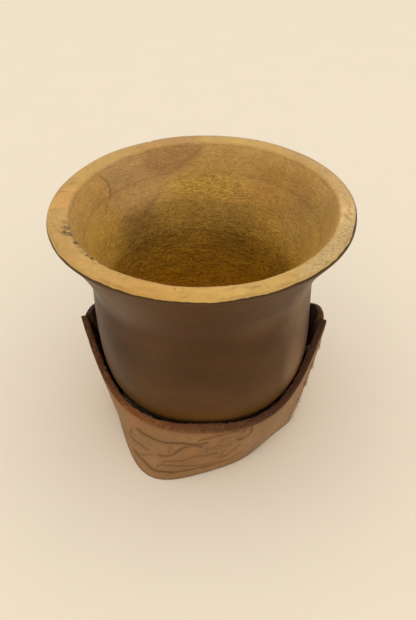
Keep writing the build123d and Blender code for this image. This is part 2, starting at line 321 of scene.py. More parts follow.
# on the skin, tints and one painted highlight: azimuth, height, half width, half height, colour, strength, softness
SKIN_TINTS_AND_HIGHLIGHT = [
    (-128, 66, 8, 8, (104, 80, 52), 0.6, 0.7),
    (-143, 41, 8, 13, (54, 34, 16), 0.5, 0.8),
    (-156, 56, 6, 8, (84, 60, 38), 0.5, 0.8),
    (-112, 54, 8, 12, (88, 60, 34), 0.5, 0.8),
    # painted highlight: a warm light streak near the skin's right edge
    (-35, 34, 4.4, 9, (134, 98, 62), 0.55, 0.8),
    (-30, 60, 8, 12, (134, 104, 68), 0.55, 0.8),
    (-56, 58, 9, 4, (102, 72, 42), 0.5, 0.7),
    (-88, 20, 26, 5, (108, 72, 30), 0.5, 0.6),
    (-92, 46, 10, 8, (68, 42, 16), 0.5, 0.8),
    (-74, 38, 8, 6, (66, 42, 20), 0.4, 0.8),
    (60, 50, 16, 14, (98, 68, 38), 0.4, 0.8),
    (150, 40, 12, 16, (80, 52, 26), 0.4, 0.8),
]
# the leather: face, warm tint, painted greyish sheen, dark, foot edge, carved lines, cut edge, inner side, thong,
# fibres
LEATHER, LEATHER_WARM, LEATHER_SHEEN, LEATHER_DARK = (142, 104, 64), (148, 102, 60), (142, 112, 78), (112, 76, 44)
LEATHER_EDGE, CARVED = (70, 42, 24), (92, 60, 24)
# the cut edge from the right seam to the left one
CUT_STOPS = [(0, (76, 46, 24)), (0.12, (78, 43, 20)), (0.3, (92, 54, 30)), (0.5, (112, 72, 38)), (0.7, (152, 94, 44)),
             (0.88, (94, 55, 17)), (1, (86, 52, 17))]
CUT_LIGHT, CUT_RED, CUT_DARK, INNER_SIDE = (160, 110, 66), (128, 60, 34), (48, 24, 12), (62, 32, 12)
THONG, THONG_DIRTY = (186, 170, 146), (134, 112, 88)
FIBRE_PALE, FIBRE_DARK = (150, 120, 86), (70, 40, 22)
FLOOR = (239, 225, 203)
WORLD_LIGHT = 0.895
# name, place, aim, size, watts, colour
LIGHTS = [
    ("overhead", (0.05, -0.1, 1.5), (0, 0, 0.04), (1.6, 1.6), 3.2, (1.0, 0.985, 0.96)),
    ("front", (0.15, -0.9, 0.75), (0, 0, 0.03), (1.0, 1.0), 1.5, (1.0, 0.985, 0.96)),
]

# ---------------------------------------------------------------------------
# Colour helpers
# ---------------------------------------------------------------------------
def lin(r, g, b):
    """Linear colour of an 8-bit sRGB one."""
    c = np.array([r, g, b], float) / 255
    return np.where(c <= 0.04045, c / 12.92, ((c + 0.055) / 1.055) ** 2.4)


def flat(r, g, b):
    return tuple(float(v) for v in lin(r, g, b))


def toward(base, colour, k):
    """Moves each row of base towards one colour by k (0 to 1)."""
    k = np.clip(np.asarray(k, float), 0, 1)[:, None]
    return base * (1 - k) + np.asarray(colour)[None, :] * k


def stops(x, table):
    """Colours interpolated along x from [(x, (r, g, b)), ...] in sRGB."""
    xs = [t[0] for t in table]
    cs = np.array([lin(*t[1]) for t in table])
    return np.stack([np.interp(x, xs, cs[:, i]) for i in range(3)], 1)


def as_paint(col):
    return ("FLOAT_COLOR", np.concatenate([np.clip(col, 0, 1), np.ones((len(col), 1))], 1))


def line_distance(Q, pts):
    """Distance of 2-D points Q from a polyline."""
    best = np.full(len(Q), 1e9)
    pts = np.asarray(pts, float)
    for a, b in zip(pts[:-1], pts[1:]):
        ab = b - a
        t = np.clip(((Q - a) @ ab) / (ab @ ab + 1e-12), 0, 1)
        best = np.minimum(best, np.hypot(*(Q - a - t[:, None] * ab).T))
    return best


def curve(pts, n=8):
    """A smooth line through the given points (Catmull-Rom)."""
    p = np.asarray(pts, float)
    p = np.concatenate([2 * p[:1] - p[1:2], p, 2 * p[-1:] - p[-2:-1]])
    out = []
    for i in range(1, len(p) - 2):
        for t in np.linspace(0, 1, n, endpoint=False):
            out.append(0.5 * (2 * p[i] + (p[i + 1] - p[i - 1]) * t
                              + (2 * p[i - 1] - 5 * p[i] + 4 * p[i + 1] - p[i + 2]) * t * t
                              + (3 * p[i] - p[i - 1] - 3 * p[i + 1] + p[i + 2]) * t ** 3))
    out.append(p[-2])
    return np.array(out)


def wrap_deg(a):
    return (a + 180) % 360 - 180


# ---------------------------------------------------------------------------
# Gourd profile, as in the CAD model
# ---------------------------------------------------------------------------
LIP_ROUND, MOUTH_ROUND = 1.6, 0.8
SKIN_T = 0.55


def flare(d, reach, top_r, body_r, power):
    return body_r + (top_r - body_r) * np.clip(1 - d / reach, 0, 1) ** power


def cap_line(start, end, radius, n):
    a = np.linspace(0, math.pi / 2, n)
    t = np.sin(a) ** (2 / CAP_P)
    r = radius * np.clip(np.cos(a), 0, 1) ** (2 / CAP_Q)
    r[-1] = 0
    return np.stack([r, RIM_Z - (start + (end - start) * t)], 1)


def arc3(p, q, r, n):
    """Arc through three (radius, z) points."""
    (ax, ay), (bx, by), (cx, cy) = p, q, r
    d = 2 * (ax * (by - cy) + bx * (cy - ay) + cx * (ay - by))
    ux = ((ax**2 + ay**2) * (by - cy) + (bx**2 + by**2) * (cy - ay) + (cx**2 + cy**2) * (ay - by)) / d
    uy = ((ax**2 + ay**2) * (cx - bx) + (bx**2 + by**2) * (ax - cx) + (cx**2 + cy**2) * (bx - ax)) / d
    ang = np.unwrap([math.atan2(y - uy, x - ux) for x, y in (p, q, r)])
    rad = math.hypot(ax - ux, ay - uy)
    t = np.linspace(ang[0], ang[2], n)
    return np.stack([ux + rad * np.cos(t), uy + rad * np.sin(t)], 1)


d_out = np.linspace(LIP_ROUND, SHOULDER_DEPTH, 90)
outer_line = np.concatenate([
    np.stack([flare(d_out, FLARE_DEPTH, LIP_R, BODY_R, FLARE_POWER), RIM_Z - d_out], 1),
    cap_line(SHOULDER_DEPTH, BOTTOM_DEPTH, BODY_R, 140)[1:]])
lip_arc = arc3((FACE_OUTER_R, RIM_Z), (FACE_OUTER_R + 0.7, RIM_Z - 0.55), tuple(outer_line[0]), 24)
d_in = np.linspace(MOUTH_ROUND, SHOULDER_DEPTH - 2, 90)
inner_line = np.concatenate([
    np.stack([flare(d_in, INNER_FLARE_DEPTH, MOUTH_R, BODY_INNER_R, INNER_FLARE_POWER), RIM_Z - d_in], 1),
    cap_line(SHOULDER_DEPTH - 2, INNER_BOTTOM_DEPTH, BODY_INNER_R, 140)[1:]])
face_arc = arc3((FACE_INNER_R, RIM_Z), ((FACE_INNER_R + FACE_OUTER_R) / 2, RIM_Z + RIM_DOME),
                (FACE_OUTER_R, RIM_Z), 30)
mouth_arc = arc3(tuple(inner_line[0]), (FACE_INNER_R - 0.55, RIM_Z - 0.22), (FACE_INNER_R, RIM_Z), 12)


def line_normals(p):
    """Left-hand normals of a (radius, z) polyline."""
    t = np.gradient(p, axis=0)
    t /= np.hypot(t[:, 0], t[:, 1])[:, None] + 1e-12
    return np.stack([-t[:, 1], t[:, 0]], 1)


def inset(line, depth):
    return line - line_normals(line) * depth


def turned(line, cols):
    """Vertices and triangles of a closed body from a (radius, z) line that starts and ends on the axis."""
    line = np.asarray(line, float)
    ring, n = line[1:-1], len(line) - 2
    th = np.linspace(0, 2 * math.pi, cols, endpoint=False)
    nr = line_normals(line)
    s = np.concatenate([[0], np.cumsum(np.hypot(*np.diff(line, axis=0).T))])
    c, q = np.cos(th), np.sin(th)
    P = np.stack([ring[:, :1] * c, ring[:, :1] * q, np.repeat(ring[:, 1:], cols, 1)], -1).reshape(-1, 3)
    N = np.stack([nr[1:-1, :1] * c, nr[1:-1, :1] * q, np.repeat(nr[1:-1, 1:], cols, 1)], -1).reshape(-1, 3)
    S = np.repeat(s[1:-1], cols)
    row = np.repeat(np.arange(n), cols)
    first, last = n * cols, n * cols + 1
    P = np.concatenate([P, [[0, 0, line[0, 1]], [0, 0, line[-1, 1]]]])
    N = np.concatenate([N, [[0, 0, 1], [0, 0, -1]]])
    S = np.concatenate([S, [0, s[-1]]])
    row = np.concatenate([row, [0, n - 1]])
    i = np.arange(n - 1)[:, None]
    j = np.arange(cols)[None, :]
    k = (j + 1) % cols
    faces = split_quads(i * cols + j, (i + 1) * cols + j, (i + 1) * cols + k, i * cols + k)
    j, k = j.ravel(), k.ravel()
    faces = np.concatenate([
        faces,
        np.stack([np.full(cols, first), j, k], 1),
        np.stack([(n - 1) * cols + j, np.full(cols, last), (n - 1) * cols + k], 1)])
    return P, N, S, row, faces


def gourd_warp(P):
    """Small departures of a grown gourd from a true turning. Both gourd pieces take the same ones."""
    d = RIM_Z - P[:, 2]
    a = np.arctan2(P[:, 1], P[:, 0])
    r = np.hypot(P[:, 0], P[:, 1])
    circle = np.stack([np.cos(a), np.sin(a), np.zeros_like(a)], 1)
    body = smooth(4, 14, d) * (1 - smooth(36, 52, d))
    top = 1 - smooth(0, 16, d)
    k = (body * (0.16 * np.cos(2 * a + 0.7) + 0.10 * np.cos(3 * a - 0.4)) * np.clip(r / BODY_R, 0, 1)
         + top * (0.30 * fbm(circle * 1.6 + 3.1, 1.0, 2, 31)) * np.clip(r / LIP_R, 0, 1))
    # a small old nick in the outer edge, at the rear left
    u = np.radians(wrap_deg(np.degrees(a) - 112.0)) * LIP_R
    k = k - 0.42 * np.exp(-(u / 0.8) ** 2) * smooth(46.2, 47.4, r) * (1 - smooth(1.6, 3.2, d))
    k = k - 0.16 * smooth(-0.5, 0.8, u) * (1 - smooth(6, 16, u)) * smooth(46, 47.6, r) * (1 - smooth(3, 8, d))
    Q = P.copy()
    Q[:, 0] = P[:, 0] + k * np.cos(a) - 0.4 * body
    Q[:, 1] = P[:, 1] + k * np.sin(a)
    Q[:, 2] = P[:, 2] + top * smooth(40, 43, r) * 0.14 * fbm(circle * 2.2 + 7.7, 1.0, 2, 33)
    return Q


COLS = 548
COARSE = 1.0

# ---- the flesh: inside, mouth and cut rim face --------------------------------
in_up = resample(inner_line[::-1], 0.66 * COARSE)
mouth = resample(mouth_arc, 0.16)
face = resample(face_arc, 0.36 * COARSE)
tuck = np.array([(FACE_OUTER_R - 0.03, RIM_Z - 0.06), (FACE_OUTER_R - 0.1, RIM_Z - 0.7)])
back = resample(inset(outer_line, SKIN_T + 0.1)[6:], 7.0)
back[-1, 0] = 0.0
flesh_line = np.concatenate([in_up, mouth[1:], face[1:-1], [(FACE_OUTER_R - 0.05, RIM_Z + 0.004)],
                             [(FACE_OUTER_R, RIM_Z)], tuck, back])
n_front = len(in_up) + len(mouth) - 1 + len(face) - 1
n_wall = len(in_up)
P, N, S, row, flesh_faces = turned(flesh_line, COLS)
r0 = np.hypot(P[:, 0], P[:, 1])
az = np.degrees(np.arctan2(P[:, 1], P[:, 0]))
depth = RIM_Z - P[:, 2]
on_front = row < n_front
on_front[-1] = False
# 1 on the rim face, 0 down the wall
rimk = np.where(on_front, smooth(n_wall + 3.5, n_wall + 7.5, row.astype(float)), 1.0)
wall = np.where(on_front, 1 - rimk, 0.0)
wall_d = np.where(on_front, depth, 0.0)
wv = np.stack([P[:, 0], P[:, 1], S], 1)
ring = np.stack([P[:, 0] * 0.24, P[:, 1] * 0.24, S * 1.0], 1)
low = smooth(8, 34, wall_d)
wrinkle = perlin(ring * 0.95, 5) + 0.6 * perlin(ring * 1.9 + 4, 6)
knobs = fbm(P, 4.0, 3, 8)
disp = wall * ((0.04 + 0.14 * low) * wrinkle + 0.10 * knobs + 0.30 * fbm(P, 26, 2, 9))
disp += np.where(on_front, rimk * (0.05 * fbm(P, 9, 2, 21) + 0.022 * fbm(P, 1.8, 3, 22)), 0.0)
# short scratches and nicks in the rim face
rs = np.random.RandomState(4)
nick = np.zeros(len(P))
spots = [(-23.6, -35.7, 0.9, 0.35, 0.6), (-8.1, -43.2, 0.8, 0.3, 1.9), (14.5, -42.6, 1.4, 0.3, 0.3),
         (17.6, -42.2, 1.0, 0.25, 2.4), (44.6, -6.8, 1.3, 0.2, 0.4), (-42.6, 15.0, 1.2, 0.22, 1.2)]
for k in range(30):
    a, q = rs.uniform(0, 2 * math.pi), rs.uniform(43.2, 47.0)
    spots.append((q * math.cos(a), q * math.sin(a), rs.uniform(0.4, 1.6), rs.uniform(0.14, 0.24), rs.uniform(0, math.pi)))
for x, y, length, width, t in spots:
    dx, dy = P[:, 0] - x, P[:, 1] - y
    u, v = dx * math.cos(t) + dy * math.sin(t), dy * math.cos(t) - dx * math.sin(t)
    nick = np.maximum(nick, np.exp(-(u / length) ** 2 - (v / width) ** 2))
nick *= np.where(on_front, rimk, 0)
disp -= 0.10 * nick
disp *= 1 - smooth(46.6, 47.25, r0) * rimk
ideal = P.copy()
P = P + N * disp[:, None]
# the mouth sits a little to the right and is a little shallower, so the wall is thicker at the left and front
k = np.where(on_front, np.clip((FACE_OUTER_R - r0) / 5.0, 0, 1) * (1 - smooth(0, 34, depth)), 0)
P[:, 0] += 0.66 * k
P[:, 1] += (0.475 - 0.0111 * P[:, 1]) * k
P = gourd_warp(P)

# colours: a depth gradient, a few named stains and tints
n2 = fbm(ideal, 16, 3, 41)
n3 = fbm(ideal, 7, 3, 42)
col = stops(wall_d + 2.0 * n2, INNER_STOPS)
rim_col = stops(wrap_deg(az + 90) + 14 * n2, RIM_STOPS)
Q = np.stack([wrap_deg(az - 100) * 0.65, wall_d * 1.18], 1)          # mm across, mm down, rear wall
q_noise = np.stack([fbm(ideal, 9, 3, 51), fbm(ideal, 9, 3, 52)], 1)
Qn = Q + 1.6 * q_noise


def wall_at(a, d):
    return np.array([wrap_deg(a - 100) * 0.65, d * 1.18])


def wall_spot(a, d, ra, rd, soft=0.3):
    """An uneven spot on the wall, ra mm across by rd mm down."""
    v = (Qn - wall_at(a, d)) / np.array([ra, rd])
    return 1 - smooth(1 - soft, 1 + soft, np.hypot(v[:, 0], v[:, 1]))


def wall_line(pts, width):
    d = line_distance(Q + 0.5 * q_noise, curve([wall_at(a, d) for a, d in pts], 6))
    return np.exp(-(d / width) ** 2)


for a, d, ra, rd, rgb, k, soft in WALL_SPOTS:
    col = toward(col, lin(*rgb), k * wall_spot(a, d, ra, rd, soft))
# painted shade: the rear wall darkens below an uneven step under the golden band, where the step's shadow falls
shade_step_d = wall_d + 1.2 * n3
rear = 1 - smooth(34, 62, np.abs(wrap_deg(az - 98)))
col *= (1 - 0.24 * rear * smooth(16.6, 17.8, shade_step_d) * (1 - smooth(22, 42, shade_step_d)) * wall)[:, None]
col *= (1 + 0.13 * wall * smooth(7, 13, wall_d) * (1 - smooth(24, 36, wall_d)))[:, None]
col[:, 2] *= 1 - 0.4 * smooth(34, 50, wall_d) * wall
for pts, width, rgb, k in WALL_LINES:
    col = toward(col, lin(*rgb), k * wall_line(pts, width) * (0.55 + 0.45 * smooth(-0.3, 0.3, n3)))


def rim_spot(a, q, ra, rq, soft=0.3, size=5, amp=0.5):
    """An uneven spot on the rim face: centre azimuth and radius, half sizes in degrees and mm."""
    u = wrap_deg(az - a) / ra
    v = (r0 - q) / rq
    return 1 - smooth(1 - soft, 1 + soft, np.hypot(u, v) + amp * fbm(ideal, size, 3, int(a) % 97 + 5))


for a, q, ra, rq, rgb, k, soft in RIM_SPOTS:
    rim_col = toward(rim_col, lin(*rgb), k * rim_spot(a, q, ra, rq, soft))
wob = 0.35 * np.stack([fbm(ideal, 3, 2, 61), fbm(ideal, 3, 2, 62)], 1)
for pts, width, rgb, k in RIM_LINES:
    d = line_distance(ideal[:, :2] + wob, curve([(q * math.cos(math.radians(a)), q * math.sin(math.radians(a))) for a, q in pts], 6))
    rim_col = toward(rim_col, lin(*rgb), k * np.exp(-(d / width) ** 2))
rim_col = toward(rim_col, lin(112, 78, 36), 0.55 * nick)
edge_dark = smooth(46.4, 47.3, r0 + 0.7 * n3) * smooth(-0.15, 0.35, fbm(ideal, 10, 3, 71))
rim_col = toward(rim_col, lin(150, 104, 50), 0.45 * edge_dark)
paint = col * (1 - rimk[:, None]) + rim_col * rimk[:, None]
smudge = np.zeros(len(P))
for a, q, ra, rq, k in SMUDGES:
    smudge = np.maximum(smudge, k * rim_spot(a, q, ra, rq, 0.5, 2.2, 0.5))
speck = rim_spot(-31, 45.6, 21, 3.4, 0.25, 6, 0.35) * (r0 > 42.4)
speck = np.maximum(speck, 0.55 * wall_spot(2, 6, 12, 8, 0.6) * wall)
speck = np.where(on_front, speck, 0)
rough_zone = wall * np.clip(wall_spot(40, 9, 15, 10, 0.4) + 0.5 * wall_spot(5, 10, 12, 10, 0.6)
                            + 0.4 * wall_spot(108, 6, 10, 6, 0.4), 0, 1)
low = np.maximum(low, 0.85 * wall_spot(84, 13.5, 15, 4.5, 0.4) * wall)

flesh = Mat("gourd_flesh")
wvn = flesh.attr("wv").outputs["Vector"]
pcol = flesh.attr("paint").outputs["Color"]
rk = flesh.attr("rimk").outputs["Fac"]
smk = flesh.attr("smudge").outputs["Fac"]
spk = flesh.attr("speck").outputs["Fac"]
lowk = flesh.attr("low").outputs["Fac"]
rgh = flesh.attr("rough").outputs["Fac"]
obj = flesh.coords()
# wrinkles run round the wall: stretched across, tight down it
wr_a = flesh.noise(flesh.mapped(wvn, (0.58, 0.58, 1.35)), 1.0, 3, 0.6, 0.4)
wr_b = flesh.noise(flesh.mapped(wvn, (1.4, 1.4, 2.8)), 1.0, 3, 0.65, 0.3)
grain = flesh.noise(obj, 1500, 4, 0.65)
cloud = flesh.noise(obj, 120, 4, 0.6, 0.4)
patch = flesh.noise(obj, 420, 3, 0.6, 0.6)
pits = flesh.voronoi(obj, 520)
c = flesh.mix(1.0, pcol, flesh.range(cloud, 0.3, 0.7, 0.90, 1.09), "MULTIPLY")
c = flesh.mix(1.0, c, flesh.range(grain, 0.3, 0.7, 0.92, 1.08), "MULTIPLY")
c = flesh.mix(1.0, c, flesh.range(patch, 0.3, 0.7, 0.92, 1.07), "MULTIPLY")
ws = flesh.math("SUBTRACT", 1.0, rk)
wstr = flesh.math("MULTIPLY", ws, flesh.range(lowk, 0.0, 1.0, 0.35, 1.0))
c = flesh.mix(wstr, c, flesh.mix(1.0, c, flesh.range(wr_a, 0.36, 0.62, 0.74, 1.17), "MULTIPLY"))
c = flesh.mix(wstr, c, flesh.mix(1.0, c, flesh.range(wr_b, 0.38, 0.62, 0.68, 1.30), "MULTIPLY"))
# painted highlight: thin pale lines on the crests between the wrinkles
crest = flesh.range(flesh.math("ABSOLUTE", flesh.math("SUBTRACT", wr_a, 0.53)), 0.0, 0.03, 1.0, 0.0)
c = flesh.mix(flesh.math("MULTIPLY", flesh.math("MULTIPLY", crest, wstr), 0.30), c, (*flat(206, 164, 84),))
c = flesh.mix(flesh.math("MULTIPLY", flesh.range(pits, 0.05, 0.16, 0.5, 0.0), ws), c, (*flat(88, 58, 20),))
# dark flecks in the rough zone
fleck = flesh.range(flesh.noise(flesh.mapped(wvn, (0.9, 0.9, 1.6)), 1.0, 5, 0.75, 0.8), 0.30, 0.46, 1.0, 0.0)
c = flesh.mix(flesh.math("MULTIPLY", flesh.math("MULTIPLY", fleck, rgh), 0.6), c, (*flat(104, 70, 30),))
spk_n = flesh.range(flesh.noise(obj, 1100, 4, 0.7, 0.3), 0.47, 0.60, 0.0, 1.0)
c = flesh.mix(flesh.math("MULTIPLY", flesh.math("MULTIPLY", spk_n, spk), 0.5), c, (*flat(118, 98, 58),))
sm_n = flesh.range(flesh.noise(obj, 700, 4, 0.7, 0.4), 0.44, 0.54, 0.0, 1.0)
c = flesh.mix(flesh.math("MULTIPLY", flesh.math("MULTIPLY", sm_n, smk), 0.9), c, (*flat(54, 46, 32),))
flesh.link(c, flesh.b.inputs["Base Color"])
flesh.link(flesh.range(cloud, 0.3, 0.7, 0.46, 0.62), flesh.b.inputs["Roughness"])
flesh.b.inputs["Specular IOR Level"].default_value = 0.22
h = flesh.math("ADD", wr_a, flesh.math("MULTIPLY", wr_b, 0.6))
h = flesh.math("MULTIPLY", h, wstr)
nb = flesh.bump(h, 1.0, 0.62)
nb = flesh.bump(flesh.math("MULTIPLY", fleck, rgh), 0.5, -0.15, nb)
nb = flesh.bump(patch, 0.35, 0.12, nb)
nb = flesh.bump(grain, 0.40, 0.07, nb)
flesh.link(nb, flesh.b.inputs["Normal"])

gourd_flesh = make_piece("gourd_flesh", P, flesh_faces, [flesh.m], attrs={
    "wv": ("FLOAT_VECTOR", wv), "paint": as_paint(paint), "rimk": ("FLOAT", rimk), "low": ("FLOAT", low),
    "smudge": ("FLOAT", smudge), "speck": ("FLOAT", speck), "rough": ("FLOAT", rough_zone)})
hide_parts("gourd_cup")

# ---- the skin: the smooth brown outside ---------------------------------------
inner_up = resample(inset(outer_line, SKIN_T)[::-1][:-6], 7.0)
inner_up[0, 0] = 0.0
lip = resample(lip_arc, 0.11)
down = np.concatenate([resample(outer_line[:60], 0.6 * COARSE), resample(outer_line[59:], 0.95 * COARSE)[1:]])
skin_line = np.concatenate([inner_up, [(FACE_OUTER_R - 0.02, RIM_Z - 0.9), (FACE_OUTER_R + 0.02, RIM_Z - 0.06)],
                            lip, down[1:]])
P, N, S, row, skin_faces = turned(skin_line, COLS)
n_hidden = len(inner_up) + 1
ideal = P.copy()
az = np.degrees(np.arctan2(P[:, 1], P[:, 0]))
depth = RIM_Z - P[:, 2]
show = (row >= n_hidden).astype(float)
disp = show * smooth(0.3, 2.0, depth) * (0.10 * fbm(P, 30, 2, 81) + 0.02 * fbm(P, 3.0, 3, 82))
# faint tool marks and a dent or two in the skin
for x, y, z, rx, rz, deep in [(-2.5, -35.6, 45.0, 2.6, 0.9, 0.10), (20.0, -30.0, 40.0, 5.0, 2.2, 0.10), (-24, -27, 62, 4, 2, 0.08),
                              (10, 34.5, 50, 4, 1.5, 0.10), (-33, 12, 42, 3, 2, 0.08)]:
    q = ((P[:, 0] - x) ** 2 + (P[:, 1] - y) ** 2) / rx ** 2 + (P[:, 2] - z) ** 2 / rz ** 2
    disp -= show * deep * np.exp(-q)
P = gourd_warp(P + N * disp[:, None])
n1 = fbm(ideal, 34, 3, 91)
n2 = fbm(ideal, 12, 3, 92)
n3 = fbm(ideal * np.array([1, 1, 3.0]), 20, 3, 93)
col = stops(depth + 2.5 * n1, SKIN_STOPS)
for a, z, ra, rz, rgb, k, soft in SKIN_TINTS_AND_HIGHLIGHT:
    u, v = wrap_deg(az - a) * 0.63 / ra, (ideal[:, 2] - z) / rz
    col = toward(col, lin(*rgb), k * (1 - smooth(1 - soft, 1 + soft, np.hypot(u, v) + 0.35 * n2)))
col *= (1 + 0.06 * n2 + 0.02 * n3)[:, None]
# the skin ends in an uneven line on the rounded lip; above it the flesh shows
lip_s = (RIM_Z - ideal[:, 2]) + (ideal[:, 0] ** 2 + ideal[:, 1] ** 2) ** 0.5 - FACE_OUTER_R
front_k = np.interp(wrap_deg(az + 90), [-180, -110, -62, -40, -25, 0, 25, 45, 75, 110, 180], [1.05, 1.15, 1.0, 0.85, 0.9, 1.0, 0.9, 0.7, 0.35, 0.9, 1.05])
edge_at = front_k + 0.34 * fbm(ideal, 6, 3, 95) + 0.12 * fbm(ideal, 1.4, 2, 96)
is_flesh = (1 - smooth(-0.07, 0.07, lip_s - edge_at)) * (depth < 2.2)
fl = stops(wrap_deg(az + 90), RIM_STOPS) * 0.88
col = toward(col, lin(46, 28, 12), 0.8 * np.exp(-((lip_s - edge_at - 0.22) / 0.30) ** 2) * (depth < 3))
col = col * (1 - is_flesh[:, None]) + fl * is_flesh[:, None]

skin = Mat("gourd_skin")
pcol = skin.attr("paint").outputs["Color"]
fle = skin.attr("is_flesh").outputs["Fac"]
obj = skin.coords()
cloud = skin.noise(obj, 75, 5, 0.55, 0.5)
streak = skin.noise(skin.mapped(obj, (1.0, 1.0, 3.2), (0, -24, 0)), 90, 4, 0.6, 0.5)
brush = skin.noise(skin.mapped(obj, (0.35, 1.0, 2.2), (0, -30, 0)), 60, 4, 0.6, 0.8)
fine = skin.noise(obj, 1800, 3, 0.6)
spots = skin.voronoi(obj, 240)
c = skin.mix(1.0, pcol, skin.range(cloud, 0.3, 0.7, 0.93, 1.08), "MULTIPLY")
c = skin.mix(1.0, c, skin.range(streak, 0.3, 0.7, 0.96, 1.05), "MULTIPLY")
c = skin.mix(1.0, c, skin.range(brush, 0.35, 0.68, 0.95, 1.07), "MULTIPLY")
c = skin.mix(1.0, c, skin.range(fine, 0.3, 0.7, 0.96, 1.04), "MULTIPLY")
c = skin.mix(skin.range(spots, 0.02, 0.10, 0.35, 0.0), c, (*flat(46, 28, 14),))
skin.link(c, skin.b.inputs["Base Color"])
rough = skin.range(cloud, 0.3, 0.7, 0.36, 0.52)
skin.link(skin.math("ADD", rough, skin.math("MULTIPLY", fle, 0.12)), skin.b.inputs["Roughness"])
skin.b.inputs["Specular IOR Level"].default_value = 0.17
nb = skin.bump(streak, 0.22, 0.14)
nb = skin.bump(fine, 0.20, 0.03, nb)
skin.link(nb, skin.b.inputs["Normal"])
gourd_skin = make_piece("gourd_skin", P, skin_faces, [skin.m], attrs={
    "paint": as_paint(col), "is_flesh": ("FLOAT", is_flesh)})
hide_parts("gourd_cup")

# ---------------------------------------------------------------------------
# Leather stand, as in the CAD model: two panels, each curved from seam to seam
# ---------------------------------------------------------------------------
def blend(u, dip, power):
    return dip * u ** 2 + (1 - dip) * u ** power


def top_radius(s, tips):
    """Outer radius of a panel's top at s (0 right seam, 1 left seam)."""
    w = 2 * s - 1
    u = np.abs(w)
    r = TOP_R_MID + (TOP_R_TIP - TOP_R_MID) * blend(u, TOP_R_DIP, TOP_R_POWER) + TOP_R_LEAN * w * (1 - u * u)
    for side, tip in ((-w, tips[0]), (w, tips[1])):
        r = r + tip * smooth(0.6 if tip > 0 else 0.9, 1, side)
    return r


def front_height(s):
    """Height of the inner side of the front panel's top."""
    w = 2 * s - 1
    u = np.abs(w)
    z = TOP_Z_MID + (TOP_Z_TIP - TOP_Z_MID) * blend(u, TOP_Z_DIP, TOP_Z_POWER)
    return z + TOP_Z_LEAN * w * (1 - u * u)


def back_height(s):
    u = np.clip(np.abs(2 * s - 1), 0, 1)
    up, tip = (np.where(s < 0.5, *pair) for pair in (BACK_Z_POWERS, BACK_Z_TIPS))
    z = BACK_Z_MID + (tip - BACK_Z_MID) * np.sin(math.pi * u / 2) ** up
    edge = (1 - u) / 2 * math.pi * TOP_R_TIP
    k = BACK_EAR_ROUND - np.clip(edge, 0, BACK_EAR_ROUND)
    return z - (BACK_EAR_ROUND - np.sqrt(np.maximum(0, BACK_EAR_ROUND ** 2 - k * k * 0.92)))


def foot_radius(s):
    p = -math.pi * s
    c = (np.hypot(np.cos(p), FOLD_SOFT) - FOLD_SOFT) / (math.hypot(1, FOLD_SOFT) - FOLD_SOFT)
    q = (np.hypot(np.sin(p), SEAM_SOFT) - SEAM_SOFT) / (math.hypot(1, SEAM_SOFT) - SEAM_SOFT)
    r = ((c / FOOT_SEAM_R) ** FOOT_POWER + (q / FOOT_FOLD_R) ** FOOT_POWER) ** (-1 / FOOT_POWER)
    right = sum(k * np.sin((2 * i + 2) * p) for i, k in enumerate(FOOT_WAVES_RIGHT))
    left = sum(k * np.sin((2 * i + 2) * p) for i, k in enumerate(FOOT_WAVES_LEFT))
    return r + np.where(s <= 0.5, right, left)


def cut_drop(s, tips):
    """How much lower the outer side of the cut top edge is than its inner side."""
    slope = np.arctan2(foot_radius(s) - top_radius(s, tips), front_height(s))
    return CUT_DROP + LEATHER_T * np.sin(slope) * CUT_SQUARE


def outer_at(s, z, tips):
    """Outer leather surface (x, y) at s and height z."""
    r, tz, a = top_radius(s, tips), front_height(s) - cut_drop(s, tips), np.radians(TOP_AZ - 180 * s)
    fr, fa = foot_radius(s), np.radians(FOOT_AZ) - math.pi * s
    v = 1 - z / tz
    x = r * np.cos(a) * (1 - v) + fr * np.cos(fa) * v
    y = r * np.sin(a) * (1 - v) + fr * np.sin(fa) * v
    bow = (BELLY + BELLY_LEAN * (2 * s - 1)) * np.maximum(0, 4 * v * (1 - v))
    q = np.hypot(x, y)
    return np.stack([x * (1 + bow / q), y * (1 + bow / q)], -1)


def inward_at(s, z, tips):
    """Radial unit direction inward and the radial thickness of the leather there."""
    e = 0.004
    p = outer_at(s, z, tips)
    t = outer_at(np.minimum(s + e, 1), z, tips) - outer_at(np.maximum(s - e, 0), z, tips)
    t /= np.linalg.norm(t, axis=-1, keepdims=True)
    rad = p / np.linalg.norm(p, axis=-1, keepdims=True)
    across = np.abs(t[..., 0] * rad[..., 1] - t[..., 1] * rad[..., 0])
    return -rad, LEATHER_T / np.maximum(0.86, across)


SEAM = SEAM_GAP / 125.0
ARC_MM = 125.0


def carving(s, z):
    """Depth of the carved flowing lines at panel position s, z: plain abstract strokes."""
    Q = np.stack([s * ARC_MM, z], 1)
    Q = Q + 0.22 * np.stack([perlin(np.stack([Q[:, 0] / 3, Q[:, 1] / 3, Q[:, 0] * 0], 1), 3),
                             perlin(np.stack([Q[:, 0] / 3, Q[:, 1] / 3, Q[:, 0] * 0 + 9], 1), 4)], 1)
    deep = np.zeros(len(Q))
    for pts, width, d in STROKES:
        line = curve([(a * ARC_MM, b) for a, b in pts], 7)
        r = line_distance(Q, line)
        deep = np.maximum(deep, d * (0.72 * np.exp(-(r / width) ** 2) + 0.28 * np.exp(-(r / (2.6 * width)) ** 2)))
    return deep


